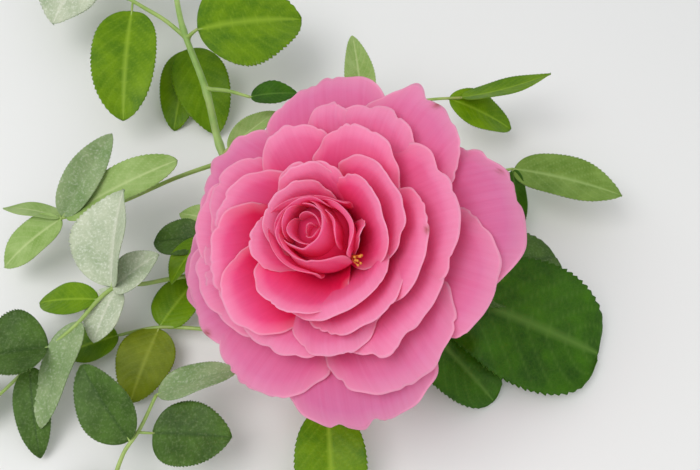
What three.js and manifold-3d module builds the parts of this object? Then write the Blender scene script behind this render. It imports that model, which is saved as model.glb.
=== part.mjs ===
// A cut flowering rose branch, lying down: a cane in two lengths, a flower stalk,
// a hip with its sepals, one open bloom, and the compound leaves round it.
// Millimetres, +Z up. Plan positions are measured from the point under the bloom's
// seat, and the whole part is moved at the end so that its footprint is centred.

import * as THREE from 'three';
import { mergeVertices } from 'three/addons/utils/BufferGeometryUtils.js';
import Module from 'manifold-3d';

const wasm = await Module();
wasm.setup();

// ---------------------------------------------------------------- driving sizes

const SEAT_HEIGHT = 44; // the bloom's seat above the ground
const BLOOM_AXIS = new THREE.Vector3(-0.352, -0.281, 0.893).normalize(); // where the bloom faces
const FOOTPRINT_CENTRE = new THREE.Vector3(-19.6, 33.1, 0); // the middle of the footprint in the plan

const PETAL_THICKNESS = 0.9;
const LEAF_THICKNESS = 0.55;
const JOINT_GAP = 0.3; // between two nodes that meet
const PETIOLULE = 1.8; // from a leaf's stalk to the foot of a leaflet
const SUNK = 1.2; // how far a leaf's root is sunk in its stalk
const FINEST = 0.06; // facets finer than this are merged

const CANE_RADIUS = { cut: 2.4, middle: 1.9, tip: 0.95 };
const STALK_RADIUS = { foot: 1.3, top: 1.5 };
const RACHIS_RADIUS = { foot: 0.85, tip: 0.5 };
const MIDRIB_RADIUS = { foot: 0.5, tip: 0.35 };

const HIP = { top: -3.3, length: 13, radius: 4.6, neck: 2.6 }; // heights along the bloom's axis
const SEPAL = { count: 5, length: 17, width: 6, droop: 6, thickness: 0.7, turn: 20 };
const CORE = { foot: -3, top: 28, radius: 7.2 }; // the packed base of the petals

const COLOURS = {
  petal: 0xe8628f, cane: 0x86a353, stalk: 0x86a34f, hip: 0x7f9f4b,
  green: 0x3f7d22, pale: 0x7d9c6a, fresh: 0x6f9a2c,
};

// The cane runs from its cut end, low at the front, under the bloom to its tip at the back.
const CANE_LOWER = [[-66, -101, 2.4], [-40, -80, 2.4], [-17, -60, 3.2], [-7, -42, 3.8], [-6, -30, 4.3]];
const CANE_UPPER = [[-6, -30, 4.3], [-9, -14, 5.4], [-22, 15, 9], [-44, 52, 16], [-52, 78, 22],
  [-62, 103, 28], [-68, 128, 31]];
const STALK_FOOT = [-7, -19, 6.2]; // where the flower stalk leaves the cane

// ---------------------------------------------------------------- small helpers

const radians = THREE.MathUtils.degToRad;
const vector = ([x, y, z]) => new THREE.Vector3(x, y, z);
const smooth = (value, low, high) => THREE.MathUtils.smoothstep(value, low, high);
const sinc = (value) => (Math.abs(value) < 1e-6 ? 1 : Math.sin(value) / value);

/** A closed three.js geometry as a solid. */
function solid(geometry) {
  const bare = geometry.index ? geometry.toNonIndexed() : geometry.clone();
  bare.deleteAttribute('normal');
  bare.deleteAttribute('uv');
  const merged = mergeVertices(bare, 1e-5);
  return new wasm.Manifold(new wasm.Mesh({
    numProp: 3,
    vertProperties: new Float32Array(merged.attributes.position.array),
    triVerts: new Uint32Array(merged.index.array),
  }));
}

/** One outer skin: the solids joined, with sealed hollows filled and loose scraps dropped. */
function fuse(solids) {
  const joined = wasm.Manifold.union(solids).simplify(FINEST);
  const pieces = joined.decompose().filter((piece) => piece.volume() > 0);
  return pieces.reduce((largest, piece) => (piece.volume() > largest.volume() ? piece : largest));
}

/** A thin closed sheet: the surface pointAt(x, y) over the unit disc, given its thickness. */
function sheet(pointAt, columns, rows, thickness) {
  const step = 1e-3;
  const faces = [[], []];
  for (let column = 0; column <= columns; column += 1) {
    for (let row = 0; row <= rows; row += 1) {
      const a = (2 * column) / columns - 1;
      const b = (2 * row) / rows - 1;
      const x = a * Math.sqrt(1 - (b * b) / 2); // the square grid drawn onto the disc
      const y = b * Math.sqrt(1 - (a * a) / 2);
      const inX = x > 0 ? -step : step;
      const inY = y > 0 ? -step : step;
      const point = pointAt(x, y);
      const along = pointAt(x, y + inY).sub(point).multiplyScalar(Math.sign(inY));
      const across = pointAt(x + inX, y).sub(point).multiplyScalar(Math.sign(inX));
      const normal = across.cross(along).normalize().multiplyScalar(thickness / 2);
      faces[0].push(point.clone().add(normal));
      faces[1].push(point.clone().sub(normal));
    }
  }
  const at = (side, column, row) => side * faces[0].length + column * (rows + 1) + row;
  const index = [];
  const quad = (p, q, r, s) => index.push(p, q, r, p, r, s);
  for (let column = 0; column < columns; column += 1) {
    for (let row = 0; row < rows; row += 1) {
      quad(at(0, column, row), at(0, column + 1, row), at(0, column + 1, row + 1), at(0, column, row + 1));
      quad(at(1, column, row), at(1, column, row + 1), at(1, column + 1, row + 1), at(1, column + 1, row));
    }
  }
  for (let column = 0; column < columns; column += 1) {
    quad(at(0, column, 0), at(1, column, 0), at(1, column + 1, 0), at(0, column + 1, 0));
    quad(at(0, column + 1, rows), at(1, column + 1, rows), at(1, column, rows), at(0, column, rows));
  }
  for (let row = 0; row < rows; row += 1) {
    quad(at(0, 0, row + 1), at(1, 0, row + 1), at(1, 0, row), at(0, 0, row));
    quad(at(0, columns, row), at(1, columns, row), at(1, columns, row + 1), at(0, columns, row + 1));
  }
  const geometry = new THREE.BufferGeometry().setFromPoints(faces.flat());
  geometry.setIndex(index);
  return solid(geometry);
}

/** A round limb along a curve, its radius changing evenly, with flat ends, grown by a margin. */
function limb(curve, startRadius, endRadius, sides, steps, margin = 0) {
  const frames = curve.computeFrenetFrames(steps, false);
  const points = [];
  for (let step = 0; step <= steps; step += 1) {
    const centre = curve.getPointAt(step / steps);
    if (step === 0) centre.addScaledVector(frames.tangents[step], -margin);
    if (step === steps) centre.addScaledVector(frames.tangents[step], margin);
    const radius = THREE.MathUtils.lerp(startRadius, endRadius, step / steps) + margin;
    for (let side = 0; side < sides; side += 1) {
      const turn = (2 * Math.PI * side) / sides;
      points.push(centre.clone()
        .addScaledVector(frames.normals[step], radius * Math.cos(turn))
        .addScaledVector(frames.binormals[step], radius * Math.sin(turn)));
    }
  }
  const index = [];
  for (let step = 0; step < steps; step += 1) {
    for (let side = 0; side < sides; side += 1) {
      const here = step * sides + side;
      const next = step * sides + ((side + 1) % sides);
      index.push(here, next, next + sides, here, next + sides, here + sides);
    }
  }
  const last = steps * sides;
  for (let side = 1; side < sides - 1; side += 1) {
    index.push(0, side + 1, side);
    index.push(last, last + side, last + side + 1);
  }
  const geometry = new THREE.BufferGeometry().setFromPoints(points);
  geometry.setIndex(index);
  return solid(geometry);
}

/** A named mesh of one solid, faceted as it was worked out. */
function named(name, shape, colour, roughness) {
  const { vertProperties, triVerts } = shape.getMesh();
  const geometry = new THREE.BufferGeometry();
  geometry.setAttribute('position', new THREE.BufferAttribute(new Float32Array(vertProperties), 3));
  geometry.setIndex(new THREE.BufferAttribute(new Uint32Array(triVerts), 1));
  geometry.computeVertexNormals();
  const material = new THREE.MeshStandardMaterial({ color: colour, roughness, metalness: 0 });
  const mesh = new THREE.Mesh(geometry, material);
  mesh.name = name;
  return mesh;
}

// ---------------------------------------------------------------- the bloom

// Each whorl of petals: the angle of the midline at its seat and at its rim above the
// bloom's own plane, how far the petal wraps round the axis at its foot and at its rim,
// how far the rim rolls back, the seat (radius, height), and the foot's width as a share.
const WHORLS = {
  heart: { start: 86, lean: 92, cup: 1.0, flare: 1.0, roll: 0.3, seat: [2.0, 4.0], claw: 0.6 },
  inner: { start: 78, lean: 62, cup: 0.95, flare: 0.55, roll: 0.8, seat: [3.0, 3.0], claw: 0.45 },
  second: { start: 66, lean: 50, cup: 0.85, flare: 0.45, roll: 0.9, seat: [3.4, 2.0], claw: 0.42 },
  third: { start: 52, lean: 38, cup: 0.8, flare: 0.35, roll: 1.0, seat: [3.8, 1.0], claw: 0.4 },
  fourth: { start: 42, lean: 20, cup: 0.65, flare: 0.2, roll: 1.2, seat: [4.2, 0.2], claw: 0.36 },
  outer: { start: 30, lean: -2, cup: 0.45, flare: 0, roll: 1.4, seat: [3.8, -0.8], claw: 0.34 },
  guard: { start: 20, lean: -18, cup: 0.3, flare: -0.1, roll: 1.5, seat: [3.4, -1.5], claw: 0.34 },
};

// Petals: whorl, direction round the axis in degrees, reach of the rim from the axis,
// its rise above the seat, and the petal's width.
const PETALS = [
  ['outer', 93, 46.4, 14, 39], ['outer', 50, 45.4, 15, 34], ['guard', 6, 50, 9, 40],
  ['outer', 339, 45, 13, 37], ['guard', 279, 49.5, 9, 44], ['outer', 234, 45.5, 13, 38],
  ['outer', 200, 46, 13, 38], ['guard', 188, 49.5, 9, 32], ['outer', 146, 45.3, 14, 36],
  ['outer', 302, 43.4, 15, 38],
  ['fourth', 315, 34.5, 21, 36], ['fourth', 238, 32.2, 20, 34], ['fourth', 278, 31, 22, 26],
  ['fourth', 200, 36.6, 19, 36], ['fourth', 154, 36.8, 20, 29], ['fourth', 168, 39.4, 19, 33],
  ['fourth', 194, 38.7, 19, 31], ['fourth', 89, 36.1, 20, 17], ['fourth', 64, 36.5, 20, 30],
  ['fourth', 10, 35, 20.5, 39],
  ['third', 219, 30.7, 24, 26], ['third', 196, 30.8, 25, 33], ['third', 166, 29.5, 25, 31],
  ['third', 110, 31, 24, 24], ['third', 62, 28.6, 25, 27], ['third', 347, 28.8, 25, 32],
  ['third', 303, 26.9, 25, 31],
  ['second', 18, 22.9, 27.5, 32], ['second', 290, 21.4, 28, 34], ['second', 97, 17, 29, 22],
  ['inner', 4, 18.5, 30, 24], ['inner', 251, 19.2, 29, 29], ['inner', 218, 15.7, 29, 24],
  ['inner', 138, 12.3, 30, 24], ['inner', 100, 16, 30, 19],
  ['heart', 90, 9.6, 30.5, 25], ['heart', 216, 9.8, 30, 31], ['heart', 258, 7.6, 31, 17],
  ['heart', 308, 10.8, 29.5, 17], ['heart', 226, 4.9, 32.4, 10], ['heart', 318, 5.2, 32.6, 12],
  ['heart', 356, 11.4, 31.2, 17],
];

/** One petal in the bloom's own frame, its seat at the origin and the bloom's axis up. */
function petal([whorl, direction, reach, rise, width]) {
  const form = WHORLS[whorl];
  const seat = new THREE.Vector2(...form.seat);
  const rim = new THREE.Vector2(reach, rise);
  const span = seat.distanceTo(rim);
  const aim = (degrees, length) => new THREE.Vector2(Math.cos(radians(degrees)), Math.sin(radians(degrees)))
    .multiplyScalar(length);
  const midline = new THREE.CubicBezierCurve(
    seat,
    seat.clone().add(aim(form.start, 0.42 * span)),
    rim.clone().sub(aim(form.lean, 0.38 * span)),
    rim,
  );
  const upright = new THREE.Vector3(0, 0, 1);
  const pointAt = (x, y) => {
    const along = Math.max((1 + y) / 2, 0) ** 0.82;
    const middle = midline.getPoint(along);
    const tangent = midline.getTangent(along);
    const share = form.claw + (1 - form.claw) * Math.min(along / 0.62, 1) ** 0.9;
    const across = (width / 2) * x * share;
    const wrap = (across * THREE.MathUtils.lerp(form.cup, form.flare, along)) / Math.max(middle.x, 4);
    const sideways = across * sinc(wrap);
    const rollBack = form.roll * smooth(Math.hypot(x, y), 0.78, 1.02) * smooth(y, -0.5, 0.4);
    const inwards = (across * wrap * sinc(wrap / 2) ** 2) / 2 - rollBack;
    return new THREE.Vector3(
      middle.x - inwards * tangent.y,
      sideways,
      middle.y + inwards * tangent.x,
    ).applyAxisAngle(upright, radians(direction));
  };
  const facets = width < 40 ? 4 : 5;
  return sheet(pointAt, facets, width < 25 ? 3 : facets, PETAL_THICKNESS);
}

/** The packed base that every petal grows from, a turned body with a flat foot. */
function core() {
  const outline = [
    [0, CORE.foot], [3.8, CORE.foot], [5.6, -1.5], [5.6, 4], [CORE.radius, 14], [5.6, 22], [0, CORE.top],
  ].map(([radius, height]) => new THREE.Vector2(radius, height));
  return solid(new THREE.LatheGeometry(outline, 11).rotateX(Math.PI / 2));
}

/** Turns a solid from the bloom's own frame into the part's. */
function onBloomAxis(shape) {
  const side = new THREE.Vector3(1, 0, 0);
  side.addScaledVector(BLOOM_AXIS, -side.dot(BLOOM_AXIS)).normalize();
  const front = new THREE.Vector3().crossVectors(BLOOM_AXIS, side);
  const frame = new THREE.Matrix4().makeBasis(side, front, BLOOM_AXIS).setPosition(0, 0, SEAT_HEIGHT);
  return shape.transform(frame.toArray());
}

/** The hip under the bloom, with its sepals turned back. */
function hip() {
  const bottom = HIP.top - HIP.length;
  const outline = [
    [0, bottom], [HIP.neck, bottom], [HIP.radius, bottom + 0.45 * HIP.length],
    [0.86 * HIP.radius, HIP.top - 2], [HIP.radius, HIP.top], [0, HIP.top],
  ].map(([radius, height]) => new THREE.Vector2(radius, height));
  const body = solid(new THREE.LatheGeometry(outline, 10).rotateX(Math.PI / 2));
  const sepals = Array.from({ length: SEPAL.count }, (_, number) => {
    const direction = radians(SEPAL.turn + (360 * number) / SEPAL.count);
    const upright = new THREE.Vector3(0, 0, 1);
    return sheet((x, y) => {
      const along = (1 + y) / 2;
      return new THREE.Vector3(
        HIP.radius - 1.5 + SEPAL.length * along,
        (SEPAL.width / 2) * x * (1 - 0.55 * along),
        HIP.top - 1.2 - SEPAL.droop * along ** 1.5,
      ).applyAxisAngle(upright, direction);
    }, 2, 4, SEPAL.thickness);
  });
  return fuse([body, ...sepals]);
}

// ---------------------------------------------------------------- the leaves

// Each compound leaf: its colour, the path of its stalk from the cane outwards, and its
// leaflets. A leaflet has the share of the stalk at which it leaves, its heading in the
// plan and its climb in degrees, its length and width, its roll about its midrib, how
// steeply its halves fold up, and how far it arches as a share of its length.
const LEAVES = [
  {
    name: 'leaf_upper_left', colour: COLOURS.green,
    stalk: [[-60, 98, 26.8], [-68.5, 105, 29], [-77.5, 111, 30], [-88, 120, 29], [-106, 142, 25]],
    leaflets: [
      { at: 0.42, heading: -91, climb: -19, length: 43, width: 24, roll: 0, fold: 16, arch: 0.06, petiolule: 4.2 },
      { at: 0.42, heading: 92, climb: -10, length: 38, width: 21, roll: 0, fold: 10, arch: 0.08 },
      { at: 0.9, heading: -120, climb: -16, length: 27, width: 27, roll: 0, fold: 10, arch: 0.08 },
      { at: 0.86, heading: 99, climb: -9, length: 30, width: 18, roll: 0, fold: 10, arch: 0.08 },
      { at: 1, heading: 133, climb: -21, length: 38, width: 20, roll: 0, fold: 8, arch: 0.1 },
    ],
  },
  {
    name: 'leaf_upper_right', colour: COLOURS.green,
    stalk: [[-60, 98, 26.8], [-57.5, 98, 29.5], [-55.5, 99, 30.5]],
    leaflets: [{ at: 0.9, heading: 14, climb: -6, length: 38.5, width: 42, roll: 4, fold: 5, arch: 0.05 }],
  },
  {
    name: 'leaf_behind_stem', colour: COLOURS.fresh,
    stalk: [[-60, 98, 26], [-62, 104, 20], [-62, 107, 12]],
    leaflets: [
      { at: 0.9, heading: -71, climb: -18, length: 37, width: 21, roll: 0, fold: 8, arch: 0.05 },
      { at: 1, heading: -100, climb: -20, length: 33, width: 17, roll: 0, fold: 8, arch: 0.05 },
    ],
  },
  {
    name: 'leaf_far_left', colour: COLOURS.pale,
    stalk: [[-44, 52, 14], [-60, 45, 14], [-80, 33, 15], [-95, 26, 18]],
    leaflets: [
      { at: 0.99, heading: 26, climb: 10, length: 41, width: 15, roll: 0, fold: 12, arch: 0.04 },
      { at: 1, heading: 62, climb: 17, length: 32, width: 12, roll: 14, fold: 24, arch: 0.04 },
      { at: 1, heading: 162, climb: -14, length: 25, width: 9, roll: 30, fold: 10, arch: 0.04 },
      { at: 1, heading: -146, climb: -22, length: 25, width: 14, roll: 0, fold: 10, arch: 0.06 },
    ],
  },
  {
    name: 'leaf_silver_left', colour: COLOURS.pale,
    stalk: [[-22, 15, 9], [-58.5, 5.5, 14], [-64.5, 3, 16], [-74.5, 0.5, 17.5], [-84.5, -12, 16.5],
      [-91.5, -17.5, 14], [-106, -31, 9]],
    leaflets: [
      { at: 0.55, heading: 84, climb: 25, length: 31, width: 24, roll: -30, fold: 24, arch: 0.04 },
      { at: 0.55, heading: 25, climb: 27, length: 19, width: 12, roll: 0, fold: 12, arch: 0.05 },
      { at: 0.53, heading: -110, climb: -15, length: 18, width: 13, roll: 10, fold: 12, arch: 0.05 },
      { at: 0.6, heading: 173, climb: -21, length: 23, width: 11, roll: 0, fold: 10, arch: 0.06 },
      { at: 0.68, heading: -107, climb: -17, length: 33, width: 13, roll: 20, fold: 12, arch: 0.05 },
      { at: 0.8, heading: -166, climb: 6, length: 22, width: 24, roll: 14, fold: 22, arch: 0.05 },
      { at: 0.88, heading: -79, climb: -21, length: 27, width: 11, roll: 0, fold: 8, arch: 0.06 },
      { at: 1, heading: -172, climb: -19, length: 21, width: 15, roll: 0, fold: 8, arch: 0.06 },
    ],
  },
  {
    name: 'leaf_lower_left', colour: COLOURS.green,
    stalk: [[-40, -80, 2.4], [-54, -73, 8], [-66, -60, 11], [-65, -50, 12.5], [-61, -43, 13.5], [-57, -33, 15]],
    leaflets: [
      { at: 0.77, heading: 127, climb: 18, length: 26, width: 16, roll: -20, fold: 16, arch: 0.05 },
      { at: 0.82, heading: -4, climb: 3, length: 23, width: 19, roll: 0, fold: 6, arch: 0.05, petiolule: 5.7 },
      { at: 1, heading: 15, climb: 7, length: 24, width: 12, roll: -24, fold: 12, arch: 0.05 },
      { at: 0.4, heading: 168, climb: -20, length: 30, width: 20, roll: 0, fold: 8, arch: 0.06 },
      { at: 0.5, heading: -28, climb: 2, length: 26, width: 18, roll: 0, fold: 8, arch: 0.06 },
    ],
  },
  {
    name: 'leaf_low_left', colour: COLOURS.fresh,
    stalk: [[-9, -14, 5.4], [-25, -12, 7], [-45, -9, 7], [-62, -8, 6.5], [-74, -10, 5]],
    leaflets: [
      { at: 0.8, heading: -107, climb: -11, length: 24, width: 18.5, roll: 0, fold: 6, arch: 0.05 },
      { at: 0.8, heading: 58, climb: 2, length: 20, width: 15, roll: 0, fold: 8, arch: 0.05 },
      { at: 1, heading: -163, climb: -9, length: 18, width: 13, roll: 0, fold: 8, arch: 0.05 },
    ],
  },
  {
    name: 'leaf_near_left', colour: COLOURS.green,
    stalk: [[-33, 34, 12.5], [-41, 26, 15], [-47, 19, 16]],
    leaflets: [
      { at: 1, heading: 179, climb: -9, length: 17.5, width: 14, roll: 0, fold: 14, arch: 0.08 },
      { at: 0.95, heading: -122, climb: -2, length: 19, width: 10, roll: 20, fold: 24, arch: 0.1 },
      { at: 0.6, heading: 163, climb: -4, length: 16, width: 9, roll: 0, fold: 14, arch: 0.06 },
    ],
  },
  {
    name: 'leaf_right', colour: COLOURS.green,
    stalk: [[-6, -30, 4.3], [6, -18, 9], [16, -5, 12], [27, 3, 13.5]],
    leaflets: [
      { at: 1, heading: -20, climb: -10, length: 55.5, width: 40.5, roll: 12, fold: 5, arch: 0.06 },
      { at: 0.95, heading: 22, climb: -13, length: 50, width: 29, roll: 0, fold: 8, arch: 0.06 },
      { at: 0.75, heading: -45, climb: -14, length: 39, width: 24, roll: 0, fold: 8, arch: 0.06 },
    ],
  },
  {
    name: 'leaf_far_right', colour: COLOURS.pale,
    stalk: [[-22, 15, 9], [-6, 26, 10], [17, 39, 12], [42, 47, 12], [57.5, 50, 12]],
    leaflets: [
      { at: 1, heading: -21, climb: 5, length: 37, width: 19, roll: -4, fold: 10, arch: 0.04 },
      { at: 1, heading: -82, climb: -17, length: 20, width: 9, roll: 50, fold: 10, arch: 0.04 },
      { at: 0.6, heading: 92, climb: -16, length: 24, width: 16, roll: 0, fold: 8, arch: 0.05 },
      { at: 0.7, heading: -38, climb: -25, length: 28, width: 18, roll: 0, fold: 8, arch: 0.05 },
    ],
  },
  {
    name: 'leaf_top_right', colour: COLOURS.fresh,
    stalk: [[-33, 34, 12.5], [-18, 60, 15], [11, 72.5, 17], [29, 76, 18.5], [40, 76, 19.5]],
    leaflets: [
      { at: 1, heading: 8, climb: 14, length: 32, width: 12, roll: -25, fold: 10, arch: -0.04 },
      { at: 0.95, heading: -15, climb: -22, length: 26, width: 16, roll: 0, fold: 8, arch: 0.05 },
      { at: 0.6, heading: 98, climb: 32, length: 28, width: 12, roll: 20, fold: 12, arch: 0.05 },
    ],
  },
  {
    name: 'leaf_small_top', colour: COLOURS.green,
    stalk: [[-52, 78, 22], [-43, 74, 25.5], [-35, 70, 27]],
    leaflets: [
      { at: 1, heading: 5, climb: 0, length: 16, width: 10, roll: 0, fold: 14, arch: 0.05 },
    ],
  },
  {
    name: 'leaf_folded_top', colour: COLOURS.fresh,
    stalk: [[-44, 52, 16], [-43, 53, 18.3], [-42, 54, 19]],
    leaflets: [{ at: 0.8, heading: 44, climb: 3, length: 22, width: 8, roll: 10, fold: 38, arch: 0.04 }],
  },
  {
    name: 'leaf_bottom', colour: COLOURS.fresh,
    stalk: [[-6, -30, 4.3], [-6, -32, 8.5], [-7, -35, 11]],
    leaflets: [
      { at: 0.9, heading: -86, climb: -15, length: 40, width: 21, roll: 0, fold: 8, arch: 0.08 },
    ],
  },
  {
    name: 'leaf_tip', colour: COLOURS.fresh,
    stalk: [[-68, 128, 31], [-69, 131, 31.6], [-69.6, 134, 32]],
    leaflets: [
      { at: 0.9, heading: 128, climb: 10, length: 22, width: 13, roll: 0, fold: 22, arch: 0.06 },
      { at: 0.9, heading: 70, climb: 14, length: 20, width: 12, roll: 0, fold: 26, arch: 0.06 },
    ],
  },
];

/** One leaflet's blade and the short rib that carries it, leaving the stalk at root. */
function leaflet(spec, root) {
  const heading = radians(spec.heading);
  const climb = radians(spec.climb);
  const outward = new THREE.Vector3(
    Math.cos(heading) * Math.cos(climb),
    Math.sin(heading) * Math.cos(climb),
    Math.sin(climb),
  );
  const side = new THREE.Vector3(Math.sin(heading), -Math.cos(heading), 0)
    .applyAxisAngle(outward, radians(spec.roll));
  const face = new THREE.Vector3().crossVectors(side, outward);
  const steepness = Math.tan(radians(spec.fold));
  const blade = (x, y) => {
    const along = (1 + y) / 2;
    const across = (spec.width / 2) * x * (1.06 - 0.42 * along ** 2.2);
    const lift = steepness * Math.hypot(across, 0.6) + spec.arch * spec.length * 4 * along * (1 - along);
    const point = root.clone()
      .addScaledVector(outward, spec.length * along + (spec.petiolule ?? PETIOLULE) - SUNK)
      .addScaledVector(side, across)
      .addScaledVector(face, lift - 0.6 * steepness);
    point.z = Math.max(point.z, LEAF_THICKNESS / 2); // a low tip lies on the ground
    return point;
  };
  const rib = new THREE.LineCurve3(root, blade(0, -0.72));
  return [
    sheet(blade, 2, 5, LEAF_THICKNESS),
    limb(rib, MIDRIB_RADIUS.foot, MIDRIB_RADIUS.tip, 4, 1),
  ];
}

/** A compound leaf: its stalk with every leaflet fused on, cut clear of the limbs. */
function compoundLeaf(spec, limbs) {
  const curve = new THREE.CatmullRomCurve3(spec.stalk.map(vector));
  const steps = 2 * (spec.stalk.length - 1);
  const stalk = limb(curve, RACHIS_RADIUS.foot, RACHIS_RADIUS.tip, 4, steps);
  const blades = spec.leaflets.flatMap((one) => leaflet(one, curve.getPointAt(one.at)));
  const joined = wasm.Manifold.union([stalk, ...blades]);
  return fuse([limbs.reduce((rest, bar) => rest.subtract(bar), joined)]);
}

// ---------------------------------------------------------------- the part

const lowerCurve = new THREE.CatmullRomCurve3(CANE_LOWER.map(vector));
const upperCurve = new THREE.CatmullRomCurve3(CANE_UPPER.map(vector));
const stalkTop = BLOOM_AXIS.clone().multiplyScalar(HIP.top - HIP.length - JOINT_GAP)
  .add(new THREE.Vector3(0, 0, SEAT_HEIGHT));
const stalkCurve = new THREE.CubicBezierCurve3(
  vector(STALK_FOOT),
  new THREE.Vector3(2, -8, 9),
  stalkTop.clone().addScaledVector(BLOOM_AXIS, -14),
  stalkTop,
);

/** The cane's two lengths and the flower stalk, each grown by a margin. */
function limbs(margin) {
  return {
    cane_lower: limb(lowerCurve, CANE_RADIUS.cut, CANE_RADIUS.middle, 10, 8, margin),
    cane_upper: limb(upperCurve, CANE_RADIUS.middle, CANE_RADIUS.tip, 8, 14, margin),
    flower_stalk: limb(stalkCurve, STALK_RADIUS.foot, STALK_RADIUS.top, 8, 7, margin),
  };
}

const bare = limbs(0);
const grown = limbs(JOINT_GAP);
const caneUpper = bare.cane_upper.subtract(grown.cane_lower);
const flowerStalk = fuse([bare.flower_stalk.subtract(grown.cane_lower).subtract(grown.cane_upper)]);

const group = new THREE.Group();
group.add(named('cane_lower', bare.cane_lower, COLOURS.cane, 0.5));
group.add(named('cane_upper', fuse([caneUpper]), COLOURS.cane, 0.5));
group.add(named('flower_stalk', flowerStalk, COLOURS.stalk, 0.5));
group.add(named('hip_with_sepals', onBloomAxis(hip()), COLOURS.hip, 0.5));
group.add(named('bloom', onBloomAxis(fuse([core(), ...PETALS.map(petal)])), COLOURS.petal, 0.55));
for (const spec of LEAVES) {
  const shape = compoundLeaf(spec, [grown.cane_lower, grown.cane_upper, grown.flower_stalk]);
  group.add(named(spec.name, shape, spec.colour, 0.5));
}
group.position.copy(FOOTPRINT_CENTRE).negate();

export default group;
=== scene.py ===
"""A cut flowering rose branch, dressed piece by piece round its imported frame.

The branch is built the way it grows: a cane, its compound leaves, a flower stalk, a
hip with turned-back sepals, and the bloom's whorls of petals round a packed heart.
Shapes are worked out in millimetres from the point under the bloom's seat, and are
moved into the frame's metres when their mesh is made.
"""

import logging
import math
from dataclasses import dataclass, field
from enum import Enum
from typing import Callable, Iterable, Sequence

import bpy
import numpy as np
from mathutils import Matrix, Vector


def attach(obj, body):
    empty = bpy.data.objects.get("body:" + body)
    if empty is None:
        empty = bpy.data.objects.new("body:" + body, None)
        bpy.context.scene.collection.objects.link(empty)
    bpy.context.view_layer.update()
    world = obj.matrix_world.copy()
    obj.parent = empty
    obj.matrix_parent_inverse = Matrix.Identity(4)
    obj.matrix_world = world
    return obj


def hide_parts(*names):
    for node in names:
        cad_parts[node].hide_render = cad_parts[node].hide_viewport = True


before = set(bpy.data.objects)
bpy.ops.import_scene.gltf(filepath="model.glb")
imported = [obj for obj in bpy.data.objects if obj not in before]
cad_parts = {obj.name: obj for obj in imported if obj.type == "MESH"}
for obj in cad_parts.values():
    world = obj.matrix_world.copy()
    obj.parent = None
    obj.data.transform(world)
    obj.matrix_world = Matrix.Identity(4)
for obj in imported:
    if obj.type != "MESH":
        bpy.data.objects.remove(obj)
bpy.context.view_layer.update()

LOG = logging.getLogger("rose_branch")
Array = np.ndarray
Surface = Callable[[Array, Array], Array]  # gives the points at two parameters
Profile = Callable[[Array], Array]  # gives the radius at a share of the length
Places = tuple[tuple[float, float, float], ...]
Piece = bpy.types.Object
Material = bpy.types.Material
Socket = bpy.types.NodeSocket

# ------------------------------------------------------------------ driving sizes, in mm

MM = 0.001
FOOTPRINT_CENTRE = np.array([-19.6, 33.1, 0.0])  # from the point under the bloom's seat
SEAT_HEIGHT = 44.0
BLOOM_AXIS = np.array([-0.352, -0.281, 0.893])  # the way that the bloom faces
EAST = np.array([1.0, 0.0, 0.0])
UP = np.array([0.0, 0.0, 1.0])

PETAL_THICKNESS = 0.42
LEAF_THICKNESS = 0.32
GROUND_CLEARANCE = 0.28  # the middle of a blade that lies on the ground

CANE_RADIUS = (2.4, 1.9, 0.95)  # at the cut, where its two lengths meet, and at the tip
STALK_RADIUS = (1.3, 1.5)  # at the cane and under the hip
RACHIS_RADIUS = (0.85, 0.5)  # of a leaf's stalk, at its foot and its tip
RIB_RADIUS = (0.42, 0.22)  # of the stalk under a leaflet's midrib

BLADE_FOOT = 0.48  # the power by which a leaflet widens from its foot
BLADE_END = 0.0005  # how near its ends it is drawn
SIDE_VEINS = 8.5  # on each side

NICKS = 4  # small ones in each petal's rim
PETAL_SIZE = 20.0  # mm, that the depths of lobes and nicks are told against
TIGHTEST = 4.0  # mm, the least radius that a petal bends round
SEPAL_THICKNESS = 0.5
SEPAL_END = 0.985  # just short of the point, where the width would be nothing

PETAL_GRID = 37
SEPAL_GRID = (13, 41)  # across, along
LEAF_GRID = (25, 97)  # across, along
TUBE_SIDES = 20

SLOPE_STEP = 1e-3  # how far apart a surface is read to find how it slopes
SMOOTH_SKIN = {"vein": 0.0, "side": 1.0}  # a limb has no veins, and shows its upper side

CAMERA_DISTANCE = 212.0
CAMERA_ELEVATION = 60.0  # degrees
CAMERA_LENS = 38.57
SENSOR_WIDTH = 36.0
SEAT_BELOW_MIDDLE = 3.96  # of the picture


# ------------------------------------------------------------------ small mathematics


def unit(vector: Array) -> Array:
    """A vector, or an array of them, at length one."""
    return vector / np.maximum(np.linalg.norm(vector, axis=-1, keepdims=True), 1e-12)


def smooth(value: Array, low: float, high: float) -> Array:
    """An S-shaped step from 0 at low to 1 at high: 3t squared minus 2t cubed."""
    share = np.clip((value - low) / (high - low), 0.0, 1.0)
    return share * share * (3.0 - 2.0 * share)


def bell(value: Array, width: float) -> Array:
    """A bell-shaped bump, 1 at zero and falling off over a width."""
    return np.exp(-((value / width) ** 2))


def disc_grid(count: int) -> tuple[Array, Array]:
    """A square grid drawn onto the unit disc, x = a sqrt(1 - b b / 2) and y likewise.

    Args:
        count: points along each side of the square.

    Returns:
        The x and y of each grid point.
    """
    a, b = np.meshgrid(np.linspace(-1, 1, count), np.linspace(-1, 1, count), indexing="ij")
    return a * np.sqrt(1 - b * b / 2), b * np.sqrt(1 - a * a / 2)


def up_petal(y: Array) -> Array:
    """How far up a petal a point of the disc is, from 0 at the foot to 1 at the rim."""
    return np.maximum((1 + y) / 2, 0) ** 0.82


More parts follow.
